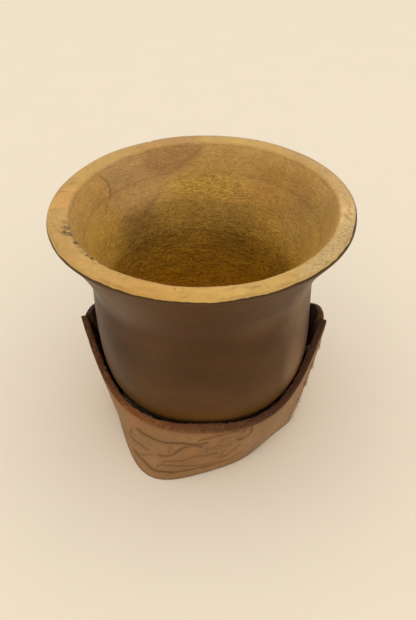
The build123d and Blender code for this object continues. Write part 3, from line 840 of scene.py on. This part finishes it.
# abstract strokes: (s, z) points, half width in mm, depth in mm
STROKES = [
    ([(0.659, 12.0), (0.640, 11.9), (0.609, 12.3), (0.589, 12.6)], 0.46, 0.46),
    ([(0.600, 12.5), (0.570, 13.0), (0.550, 13.5), (0.534, 14.1), (0.512, 14.5), (0.490, 14.4), (0.469, 14.6),
      (0.453, 15.0)], 0.34, 0.48),
    ([(0.671, 9.2), (0.664, 6.6), (0.648, 5.6), (0.628, 6.0)], 0.36, 0.40),
    ([(0.662, 9.0), (0.652, 8.2), (0.640, 8.6)], 0.40, 0.20),
    ([(0.620, 6.4), (0.604, 6.9), (0.588, 7.2), (0.578, 7.7)], 0.34, 0.32),
    ([(0.606, 2.6), (0.586, 2.7), (0.551, 3.0), (0.525, 2.7), (0.505, 2.8), (0.484, 3.1), (0.453, 3.6),
      (0.430, 3.8), (0.408, 3.9), (0.382, 3.6), (0.350, 3.6), (0.326, 3.9), (0.313, 4.6), (0.299, 5.2)], 0.36, 0.46),
    ([(0.598, 2.9), (0.581, 3.7), (0.566, 5.6), (0.555, 7.0)], 0.28, 0.26),
    ([(0.543, 8.1), (0.522, 8.9), (0.511, 10.2), (0.508, 12.0), (0.502, 13.2), (0.488, 13.8), (0.472, 13.8),
      (0.458, 13.5)], 0.34, 0.42),
    ([(0.515, 6.5), (0.508, 7.4), (0.492, 7.9), (0.472, 8.4), (0.460, 9.3), (0.448, 10.0), (0.427, 9.7),
      (0.412, 9.8), (0.395, 9.4)], 0.30, 0.32),
    ([(0.519, 4.3), (0.518, 5.0), (0.503, 5.7), (0.480, 6.2), (0.456, 6.0), (0.430, 5.6), (0.403, 5.1),
      (0.377, 4.9), (0.353, 5.0)], 0.30, 0.32),
    ([(0.538, 13.0), (0.535, 11.4), (0.521, 10.0)], 0.30, 0.26),
    ([(0.529, 12.6), (0.523, 11.6), (0.513, 11.4)], 0.28, 0.20),
    ([(0.479, 15.8), (0.475, 16.5), (0.468, 16.4), (0.456, 16.5), (0.442, 17.1), (0.420, 17.3), (0.399, 17.5),
      (0.381, 17.4)], 0.32, 0.40),
    ([(0.366, 17.0), (0.359, 17.4)], 0.34, 0.40),
    ([(0.366, 13.8), (0.347, 13.2), (0.336, 13.5), (0.331, 14.4), (0.330, 15.2), (0.336, 16.2), (0.339, 17.1)], 0.34, 0.44),
    ([(0.417, 14.6), (0.414, 15.3), (0.405, 15.6), (0.397, 15.5)], 0.28, 0.28),
    ([(0.381, 7.1), (0.366, 6.9), (0.349, 7.2), (0.343, 8.8), (0.340, 10.7)], 0.34, 0.42),
    ([(0.443, 13.0), (0.437, 11.8), (0.426, 10.6)], 0.28, 0.22),
    ([(0.377, 9.9), (0.380, 9.2), (0.374, 8.4), (0.368, 7.9)], 0.28, 0.24),
    ([(0.425, 12.6), (0.410, 13.2), (0.398, 12.4), (0.402, 11.4)], 0.28, 0.18),
    ([(0.386, 11.8), (0.376, 12.4), (0.366, 11.6)], 0.28, 0.18),
]

N_OUT, N_IN, N_BAND = ((112, 36, 12))
N_S = 460
R_OUT_TOP, R_IN_TOP, R_BOT = 0.75, 0.35, 0.3


def panel(name, height, back, seed):
    # columns: closer together near the two ends, where the edges are rounded
    t = np.linspace(0, 1, N_S)
    s_in = SEAM + (1 - 2 * SEAM) * t
    tips = BACK_TIPS if back else FRONT_TIPS
    ends = np.array([0.0, 0.02, 0.06, 0.14, 0.28, 0.45, 0.65, 0.9, 1.15]) / ARC_MM
    s = np.unique(np.concatenate([SEAM + ends, 1 - SEAM - ends, s_in[5:-5]]))
    n = len(s)
    H = height(s)
    dist = np.minimum(s - SEAM, 1 - SEAM - s) * ARC_MM
    drop = cut_drop(s, tips)
    # the outer corner of each end is worn round, the inner one hardly: a groove runs down the seam
    out_pinch, in_pinch = (c - np.sqrt(np.maximum(c ** 2 - np.clip(c - dist, 0, c) ** 2, 0)) for c in (1.05, 0.3))
    # the cross-section, each vertex as (share of thickness, height above the foot, height below the top, kind)
    T = LEATHER_T
    q, up, part = [], [], []
    for v in np.linspace(0, 1, N_OUT):                                 # outer face, upward
        q.append(0.0), up.append(v), part.append(0)
    for k in range(1, 6):                                              # outer top corner
        a = math.pi / 2 * k / 5
        q.append(R_OUT_TOP * (1 - math.cos(a))), up.append(1 + math.sin(a)), part.append(1)
    for v in np.linspace(0, 1, N_BAND)[1:]:                            # cut top edge
        q.append(R_OUT_TOP + v * (T - R_OUT_TOP - R_IN_TOP)), up.append(2), part.append(2)
    for k in range(1, 5):                                              # inner top corner
        a = math.pi / 2 * k / 4
        q.append(T - R_IN_TOP + R_IN_TOP * math.sin(a)), up.append(1 + math.cos(a)), part.append(3)
    for v in np.linspace(1, 0, N_IN)[1:]:                              # inner face, downward
        q.append(T), up.append(v), part.append(4)
    for k in range(1, 4):                                              # foot, inner corner
        a = math.pi / 2 * k / 3
        q.append(T - R_BOT + R_BOT * math.cos(a)), up.append(-math.sin(a)), part.append(5)
    for v in np.linspace(1, 0, 5)[1:]:                                 # foot, underside
        q.append(R_BOT + v * (T - 2 * R_BOT)), up.append(-1), part.append(5)
    for k in range(1, 3):                                              # foot, outer corner
        a = math.pi / 2 * k / 3
        q.append(R_BOT - R_BOT * math.sin(a)), up.append(-math.cos(a)), part.append(5)
    q, up, part = np.array(q), np.array(up), np.array(part)
    m = len(q)
    Sg = np.repeat(s[None, :], m, 0)
    Hg = np.repeat(H[None, :], m, 0)
    Dg = np.repeat(drop[None, :], m, 0)
    Po, Pi = np.repeat(out_pinch[None, :], m, 0), np.repeat(in_pinch[None, :], m, 0)
    U = np.repeat(up[:, None], n, 1)
    Qg = np.repeat(q[:, None], n, 1)
    part_g = np.repeat(part[:, None], n, 1)
    R_top = np.where(part_g >= 3, R_IN_TOP, R_OUT_TOP)
    low, high = R_BOT, Hg - Dg * (1 - Qg / T) - R_top
    Z = np.where(U < 0, low + R_BOT * U, np.where(U <= 1, low + (high - low) * np.clip(U, 0, 1), high + R_top * (U - 1)))
    Po = Po * (1 - smooth(26, 33, Z))
    Qg = Po + Qg * (T - Po - Pi) / T
    sf, zf = Sg.ravel(), Z.ravel()
    O = outer_at(sf, zf, tips)
    inward, thick = inward_at(sf, zf, tips)
    XY = O + inward * (Qg.ravel() / T * thick)[:, None]
    P = np.concatenate([XY, zf[:, None]], 1)
    pf, uf = part_g.ravel(), U.ravel()
    arc = sf * ARC_MM
    sheet_p = np.stack([arc, zf, np.full_like(arc, seed * 7.3)], 1)
    out_n = np.concatenate([-inward, np.zeros((len(P), 1))], 1)
    is_out = (pf == 0) | (pf == 1)
    # the outer face: soft waves, faint creases beside the seams, carving, dimples at the lace holes
    away = smooth(0.0, 2.5, np.repeat(dist[None, :], m, 0).ravel())
    wave = 0.14 * fbm(sheet_p, 22, 2, seed) + 0.03 * fbm(sheet_p, 3, 3, seed + 1)
    move = np.where(is_out, wave * (0.4 + 0.6 * away), 0.0)
    carve = np.zeros(len(P))
    if not back:
        inside = pf == 0
        carve[inside] = carving(sf[inside], zf[inside])
        move -= carve
        # the worked ground between the strokes is pressed slightly down and stippled
        ground = np.exp(-(((sf - 0.47) / 0.15) ** 4) - ((zf - 9.8) / 6.6) ** 4) * inside
        move -= ground * (0.05 + 0.05 * perlin(sheet_p / 1.1, seed + 5))
    dim = np.zeros(len(P))
    for zz in STITCH_Z:
        for s0 in (SHOWN_INSET / ARC_MM, 1 - SHOWN_INSET / ARC_MM):
            rr = np.hypot((sf - s0) * ARC_MM, zf - zz)
            dim = np.maximum(dim, np.exp(-(rr / 0.75) ** 2))
    move -= np.where(pf == 0, 0.55 * dim, 0)
    # a shallow crease runs beside each seam
    crease = np.exp(-((np.repeat(dist[None, :], m, 0).ravel() - 5.4) / 0.8) ** 2) * is_out
    move -= 0.10 * crease
    P += out_n * move[:, None]
    # the cut edge is fibrous, and its inner corner ragged
    rag = fbm(np.stack([arc, Qg.ravel() * 2, np.zeros_like(arc)], 1), 1.5, 4, seed + 9)
    ragged = (pf == 2) * 0.13 + (pf == 3) * 0.40
    steps = np.clip(perlin(np.stack([arc / 2.6, arc * 0, arc * 0 + 3], 1), seed + 11) - 0.18, 0, 1) * 1.1
    P[:, 2] += ragged * rag - (pf == 3) * steps * 0.6 * smooth(1.0, 2.0, uf)
    slide = ((pf == 3) | ((pf == 2) & (Qg.ravel() > 1.6))) * 0.30 * fbm(np.stack([arc, zf * 0, arc * 0 + 5], 1), 1.6, 3, seed + 12)
    P[:, :2] += (-inward) * slide[:, None]
    P[:, 2] -= np.clip(P[:, 2] - (Hg.ravel() + 0.12), 0, None)
    P[:, 2] = np.maximum(P[:, 2], 0.0)
    if back:
        P[:, :2] *= -1
    # masks for the material
    cut = np.where(pf == 2, 1.0, np.where(pf == 3, 1.0, 0.0))
    cut = np.where(pf == 1, smooth(1.05, 1.75, uf), cut)
    cut = np.where((pf == 5), 0.75, cut)
    inner = (pf == 4).astype(float)
    # the ends by the seams take the cut edge's colour: partly the worn corner's own colour, partly painted shade in the
    # seam's groove
    end_cut_and_groove_shade = np.repeat((1 - smooth(0.25, 1.05, dist))[None, :], m, 0).ravel() * (1 - 0.7 * smooth(27, 34, zf))
    cut = np.maximum(cut, end_cut_and_groove_shade)
    below_top = Hg.ravel() - Dg.ravel() - zf
    n1 = fbm(sheet_p, 30, 3, seed + 21)
    n2 = fbm(sheet_p, 9, 3, seed + 22)
    col = np.repeat(lin(*LEATHER)[None, :], len(P), 0)
    col = toward(col, lin(*LEATHER_WARM), 0.5 * smooth(-0.2, 0.5, n1))
    # painted sheen: a greyish tint towards each panel's ends, broken up by noise
    col = toward(col, lin(*LEATHER_SHEEN), 0.6 * smooth(0.0, 0.5, -n1) * smooth(0.1, 0.5, np.abs(sf - 0.5) * 2))
    col = toward(col, lin(*LEATHER_DARK), 0.35 * np.exp(-(below_top / 1.3) ** 2) + 0.25 * smooth(0.1, 0.6, n2))
    col = toward(col, lin(*LEATHER_EDGE), 0.75 * (1 - smooth(0.15, 0.9, zf + 0.25 * n2)) * is_out)
    col = toward(col, lin(*CARVED), 0.85 * np.clip(carve / 0.46, 0, 1) ** 1.2)
    col = toward(col, lin(*LEATHER_EDGE), 0.6 * dim)
    col *= (1 + 0.10 * (1 - smooth(4, 14, zf)))[:, None]
    rgb_cut = stops(sf, CUT_STOPS)
    band_p = np.stack([arc, Qg.ravel() * 1.6, np.full_like(arc, seed)], 1)
    fluff = fbm(band_p, 1.5, 4, seed + 24)
    rgb_cut = toward(rgb_cut, lin(*CUT_LIGHT), 0.40 * smooth(0.12, 0.55, fluff) * smooth(0.2, 0.6, sf))
    rgb_cut = toward(rgb_cut, lin(*CUT_DARK), 0.40 * smooth(0.10, 0.50, -fluff))
    rgb_cut = toward(rgb_cut, lin(*CUT_RED), 0.5 * smooth(0.1, 0.4, fbm(band_p + 50, 2.2, 3, seed + 25)) * smooth(0.45, 0.62, sf))
    rgb_cut = toward(rgb_cut, lin(*CUT_DARK), 0.6 * smooth(0.72, 1.0, Qg.ravel() / T + 0.25 * fluff))
    rgb_in = np.repeat(lin(*INNER_SIDE)[None, :], len(P), 0)
    # painted light: on the back panel the inner side turns a lighter brown near its left seam, lit from the left
    if back:
        rgb_in = toward(rgb_in, lin(96, 62, 26), 0.25 * (1 - smooth(0.03, 0.12, sf)))
    col = col * (1 - cut[:, None]) + rgb_cut * cut[:, None]
    col = col * (1 - inner[:, None]) + rgb_in * inner[:, None]
    # faces: the closed cross-section times the columns, with the two ends filled
    i = np.arange(m)[:, None]
    i2 = (i + 1) % m
    j = np.arange(n - 1)[None, :]
    faces = split_quads(i * n + j, i * n + j + 1, i2 * n + j + 1, i2 * n + j)
    # columns run clockwise from above, rows upward on the outer face
    faces = faces[:, ::-1]
    caps = []
    for c, flip in ((0, False), (n - 1, True)):
        loop = [(k * n + c) for k in range(m)]
        flat2 = [Vector((Qg[k, c] + 0.0, Z[k, c], 0)) for k in range(m)]
        tri = np.array(tessellate_polygon([flat2]))
        area = 0.0
        for a, b, d in tri[:50]:
            va, vb, vd = flat2[a], flat2[b], flat2[d]
            area += (vb.x - va.x) * (vd.y - va.y) - (vd.x - va.x) * (vb.y - va.y)
        tri = tri if (area > 0) != flip else tri[:, ::-1]
        caps.append(np.array(loop)[tri])
    faces = np.concatenate([faces] + caps)
    sv = np.stack([arc, zf, Qg.ravel()], 1)
    ob = make_piece(name, P, faces, [leather.m], attrs={
        "paint": as_paint(col), "cut": ("FLOAT", cut), "inner": ("FLOAT", inner), "sv": ("FLOAT_VECTOR", sv)},
        sharp=None)
    return ob, P, pf, uf, arc, n, m


leather = Mat("stand_leather")
pcol = leather.attr("paint").outputs["Color"]
cutk = leather.attr("cut").outputs["Fac"]
innk = leather.attr("inner").outputs["Fac"]
svn = leather.attr("sv").outputs["Vector"]
obj = leather.coords()
cloud = leather.noise(obj, 60, 5, 0.6, 0.5)
scuff = leather.noise(leather.mapped(obj, (1, 1, 2.2)), 330, 5, 0.65, 0.4)
grain = leather.noise(obj, 1700, 4, 0.6)
pores = leather.voronoi(obj, 900)
fibre = leather.noise(leather.mapped(svn, (1.5, 1.5, 2.8)), 1.0, 6, 0.8, 0.8)
c = leather.mix(1.0, pcol, leather.range(cloud, 0.3, 0.7, 0.87, 1.13), "MULTIPLY")
c = leather.mix(1.0, c, leather.range(scuff, 0.3, 0.7, 0.91, 1.09), "MULTIPLY")
c = leather.mix(leather.range(pores, 0.0, 0.22, 0.30, 0.0), c, (*flat(70, 44, 26),))
rough_side = leather.math("MAXIMUM", cutk, innk)
c = leather.mix(rough_side, c, leather.mix(1.0, c, leather.range(fibre, 0.34, 0.64, 0.70, 1.24), "MULTIPLY"))
leather.link(c, leather.b.inputs["Base Color"])
leather.link(leather.math("ADD", leather.range(scuff, 0.3, 0.7, 0.50, 0.66), leather.math("MULTIPLY", rough_side, 0.22)),
             leather.b.inputs["Roughness"])
leather.b.inputs["Specular IOR Level"].default_value = 0.25
nb = leather.bump(leather.math("MULTIPLY", fibre, rough_side), 0.9, 0.60)
nb = leather.bump(scuff, 0.25, 0.12, nb)
nb = leather.bump(grain, 0.35, 0.07, nb)
leather.link(nb, leather.b.inputs["Normal"])

front, FP, Fpart, Fup, Farc, Fn, Fm = panel("leather_front", front_height, False, 3)
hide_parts("stand_front")
rear, BP, Bpart, Bup, Barc, Bn, Bm = panel("leather_back", back_height, True, 8)
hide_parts("stand_back")


# ---------------------------------------------------------------------------
# Tubes: lacing thongs and loose fibres
# ---------------------------------------------------------------------------
def tube(path, width, thick, sides, up, taper=True, power=2.6, wobble=0.0, seed=0):
    """Vertices and triangles of a closed tube of flat rounded section along a path; up(p) is its flat side's normal."""
    p = np.asarray(path, float)
    t = np.gradient(p, axis=0)
    t /= np.linalg.norm(t, axis=1, keepdims=True) + 1e-12
    u = up(p)
    u = u - (u * t).sum(1, keepdims=True) * t
    u /= np.linalg.norm(u, axis=1, keepdims=True) + 1e-12
    w = np.cross(t, u)
    a = np.linspace(0, 2 * math.pi, sides, endpoint=False)
    ca, sa = np.cos(a), np.sin(a)
    ca = np.sign(ca) * np.abs(ca) ** (2 / power)
    sa = np.sign(sa) * np.abs(sa) ** (2 / power)
    n = len(p)
    k = np.ones(n)
    if taper:
        f = np.linspace(0, 1, n)
        k = np.clip(np.minimum(f, 1 - f) * n / 1.6, 0.12, 1) ** 0.5
    if wobble:
        k = k * (1 + wobble * perlin(p / 1.2, seed))
    V = (p[:, None, :] + w[:, None, :] * (ca * width / 2)[None, :, None] * k[:, None, None]
         + u[:, None, :] * (sa * thick / 2)[None, :, None] * k[:, None, None]).reshape(-1, 3)
    V = np.concatenate([V, p[:1], p[-1:]])
    i = np.arange(n - 1)[:, None]
    j = np.arange(sides)[None, :]
    j2 = (j + 1) % sides
    F = split_quads(i * sides + j, i * sides + j2, (i + 1) * sides + j2, (i + 1) * sides + j)
    j, j2 = j.ravel(), j2.ravel()
    F = np.concatenate([F, np.stack([np.full(sides, n * sides), j2, j], 1),
                        np.stack([np.full(sides, n * sides + 1), (n - 1) * sides + j, (n - 1) * sides + j2], 1)])
    return V, (F)[:, ::-1]


def radial(p):
    q = p * np.array([1, 1, 0])
    return q / (np.linalg.norm(q, axis=1, keepdims=True) + 1e-12)


def stitch_legs(turn, z, lift):
    """Outer and inner ends of one stitch's two legs, and its crest over the seam."""
    s0 = SHOWN_INSET / ARC_MM
    here, there = (FRONT_TIPS, BACK_TIPS) if turn == 0 else (BACK_TIPS, FRONT_TIPS)
    legs, seam_r = [], []
    for s, half, tips in ((s0, 0, here), (1 - s0, 180, there)):
        o = outer_at(np.array([s]), np.array([z]), tips)[0]
        inward, thick = inward_at(np.array([s]), np.array([z]), tips)
        rad = -inward[0]
        ang = math.radians(turn + half)
        rot = np.array([[math.cos(ang), -math.sin(ang), 0], [math.sin(ang), math.cos(ang), 0], [0, 0, 1]])
        legs.append((rot @ np.array([*(o + rad * lift), z]), rot @ np.array([*(o - rad * (thick[0] + 0.4)), z])))
        seam_r.append(np.linalg.norm(outer_at(np.array([float(s > 0.5)]), np.array([z]), tips)[0]))
    mid = (legs[0][0] + legs[1][0]) / 2
    want = max(min(seam_r) - 0.05, max(seam_r) + 0.55 - 0.8 * (1 - float(smooth(26, 33, z))))
    crest = mid * np.array([want / np.hypot(mid[0], mid[1])] * 2 + [1])
    return legs, crest


thong = Mat("lace_thong")
obj = thong.coords()
pcol = thong.attr("paint").outputs["Color"]
cloud = thong.noise(obj, 300, 4, 0.6)
grain = thong.noise(obj, 2200, 4, 0.65)
c = thong.mix(1.0, pcol, thong.range(cloud, 0.3, 0.7, 0.82, 1.14), "MULTIPLY")
c = thong.mix(1.0, c, thong.range(grain, 0.3, 0.7, 0.90, 1.10), "MULTIPLY")
thong.link(c, thong.b.inputs["Base Color"])
thong.link(thong.range(cloud, 0.3, 0.7, 0.55, 0.75), thong.b.inputs["Roughness"])
thong.b.inputs["Specular IOR Level"].default_value = 0.3
thong.link(thong.bump(grain, 0.5, 0.08, thong.bump(cloud, 0.4, 0.15)), thong.b.inputs["Normal"])

for name, turn, node in (("thong_right", 0, "lacing_right"), ("thong_left", 180, "lacing_left")):
    pts = []
    for k, z in enumerate(STITCH_Z):
        (front_leg, back_leg), crest = stitch_legs(turn, z, 0.22)
        # each stitch slants a little: it comes out low at the front and goes in higher at the back
        dz = 0.45
        a, b = front_leg[0] - [0, 0, dz], back_leg[0] + [0, 0, dz]
        pts += [front_leg[1] - [0, 0, dz], a * 0.35 + front_leg[1] * 0.65 - [0, 0, dz * 0.65], a, a * 0.45 + crest * 0.55,
                crest, b * 0.45 + crest * 0.55, b, b * 0.35 + back_leg[1] * 0.65 + [0, 0, dz * 0.65],
                back_leg[1] + [0, 0, dz]]
    path = curve(pts, 5)
    V, F = tube(path, 1.7, 0.66, 12, radial, wobble=0.10, seed=5 + turn)
    col = np.repeat(lin(*THONG)[None, :], len(V), 0)
    col = toward(col, lin(*THONG_DIRTY), smooth(-0.1, 0.4, fbm(V, 2.4, 3, 77)) * 0.6)
    ob = make_piece(name, V, F, [thong.m], attrs={"paint": as_paint(col)})
    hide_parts(node)

# loose fibres and flecks along the cut edge, thickest at the upper left
rs = np.random.RandomState(12)
verts, faces, shade, base = [], [], [], 0


def fibre_strand(s, turn, q, length, r, lean, tone, height, tips):
    global base
    z0 = float((height(np.array([s])) - cut_drop(np.array([s]), tips) * (1 - q / LEATHER_T))[0]) - 0.10
    o = outer_at(np.array([s]), np.array([z0]), tips)[0]
    inward, thick = inward_at(np.array([s]), np.array([z0]), tips)
    p = np.array([*(o + inward[0] * q / LEATHER_T * thick[0]), z0 - 0.12])
    tangent = np.array([-o[1], o[0], 0]) / np.linalg.norm(o)
    inw = np.array([*inward[0], 0])
    d0 = np.array([0, 0, 1.0]) * rs.uniform(0.2, 0.7) + inw * rs.uniform(-0.1, 0.9) + tangent * lean
    d0 /= np.linalg.norm(d0)
    d1 = tangent * rs.uniform(-1, 1) + inw * rs.uniform(-0.2, 0.5) - np.array([0, 0, 0.5])
    k = np.linspace(0, 1, 6)[:, None]
    path = p + d0 * length * k + d1 * length * 0.5 * k ** 2
    if turn:
        path[:, :2] *= -1
    V, F = tube(path, 2 * r, 1.5 * r, 5, lambda p: np.repeat([[0.3, 0.2, 0.93]], len(p), 0), power=2.0)
    verts.append(V)
    faces.append(F + base)
    shade.append(np.repeat(tone[None, :], len(V), 0))
    base += len(V)


for k in range(460):
    s = rs.uniform(0.03, 0.97)
    if rs.uniform() < 0.55:
        s = rs.uniform(0.74, 0.97)
    side = rs.uniform() < 0.28
    pale = rs.uniform() < (0.22 if s > 0.7 else 0.03)
    tone = lin(*(FIBRE_PALE if pale else FIBRE_DARK)) * rs.uniform(0.75, 1.15)
    fibre_strand(s, side, rs.uniform(1.1, 2.45), rs.uniform(0.35, 1.15), rs.uniform(0.05, 0.12),
                 rs.uniform(-1.2, 1.2), tone, back_height if side else front_height, BACK_TIPS if side else FRONT_TIPS)
fib = Mat("leather_fibre")
pcol = fib.attr("paint").outputs["Color"]
fnoise = fib.noise(fib.coords(), 1500, 3, 0.6)
fib.link(fib.mix(1.0, pcol, fib.range(fnoise, 0.3, 0.7, 0.8, 1.15), "MULTIPLY"), fib.b.inputs["Base Color"])
fib.link(fib.range(fnoise, 0.3, 0.7, 0.75, 0.95), fib.b.inputs["Roughness"])
fib.b.inputs["Specular IOR Level"].default_value = 0.2
fibres = make_piece("edge_fibres", np.concatenate(verts), np.concatenate(faces), [fib.m],
                    attrs={"paint": as_paint(np.concatenate(shade))})
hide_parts("stand_front", "stand_back")

# ---------------------------------------------------------------------------
# Floor, light, camera
# ---------------------------------------------------------------------------
me = bpy.data.meshes.new("floor")
g = 24
xs = np.linspace(-6, 6, g + 1)
X, Y = np.meshgrid(xs, xs)
fv = np.stack([X.ravel(), Y.ravel(), np.zeros(X.size)], 1)
ii, jj = np.meshgrid(np.arange(g), np.arange(g), indexing="ij")
a = (ii * (g + 1) + jj).ravel()
me.from_pydata(fv.tolist(), [], np.stack([a, a + 1, a + g + 2, a + g + 1], 1).tolist())
floor = bpy.data.objects.new("floor", me)
bpy.context.scene.collection.objects.link(floor)
fm = Mat("floor_paper")
fn = fm.noise(fm.coords(), 40, 3, 0.5)
fcol = fm.mix(fm.range(fn, 0.3, 0.7, 0.0, 1.0), (*(float(v) * 0.995 for v in lin(*FLOOR)),), (*(float(v) * 1.005 for v in lin(*FLOOR)),))
fm.link(fcol, fm.b.inputs["Base Color"])
fm.b.inputs["Roughness"].default_value = 0.9
fm.b.inputs["Specular IOR Level"].default_value = 0.1
me.materials.append(fm.m)

world = bpy.data.worlds.new("studio")
bpy.context.scene.world = world
world.use_nodes = True
bg = world.node_tree.nodes["Background"]
bg.inputs["Color"].default_value = (1.0, 0.985, 0.96, 1)
bg.inputs["Strength"].default_value = WORLD_LIGHT


def area_light(name, place, target, size, watts, colour=(1, 1, 1)):
    data = bpy.data.lights.new(name, "AREA")
    data.shape = "RECTANGLE"
    data.size, data.size_y = size
    data.energy = watts
    data.color = colour
    ob = bpy.data.objects.new(name, data)
    d = Vector(target) - Vector(place)
    ob.matrix_world = Matrix.Translation(place) @ d.to_track_quat("-Z", "Y").to_matrix().to_4x4()
    bpy.context.scene.collection.objects.link(ob)
    return ob


for spec in LIGHTS:
    area_light(*spec)

cam_data = bpy.data.cameras.new("camera")
cam_data.sensor_fit = "VERTICAL"
cam_data.sensor_height = 36.0
cam_data.lens = 51.16
cam_data.clip_start = 0.01
cam_data.clip_end = 20
camera = bpy.data.objects.new("camera", cam_data)
place = Vector((1.42, -234.717, 226.706)) * MM
aim = Vector((1.42, 0.0, 39.87)) * MM
fwd = (aim - place).normalized()
right = Vector((1, 0, 0))
upv = right.cross(fwd)
roll = math.radians(-0.95)
R = right * math.cos(roll) + upv * math.sin(roll)
U = -right * math.sin(roll) + upv * math.cos(roll)
camera.matrix_world = Matrix(((R.x, U.x, -fwd.x, place.x), (R.y, U.y, -fwd.y, place.y),
                              (R.z, U.z, -fwd.z, place.z), (0, 0, 0, 1)))
bpy.context.scene.collection.objects.link(camera)
bpy.context.scene.camera = camera
bpy.context.scene.view_settings.view_transform = "Standard"
bpy.context.scene.view_settings.look = "None"
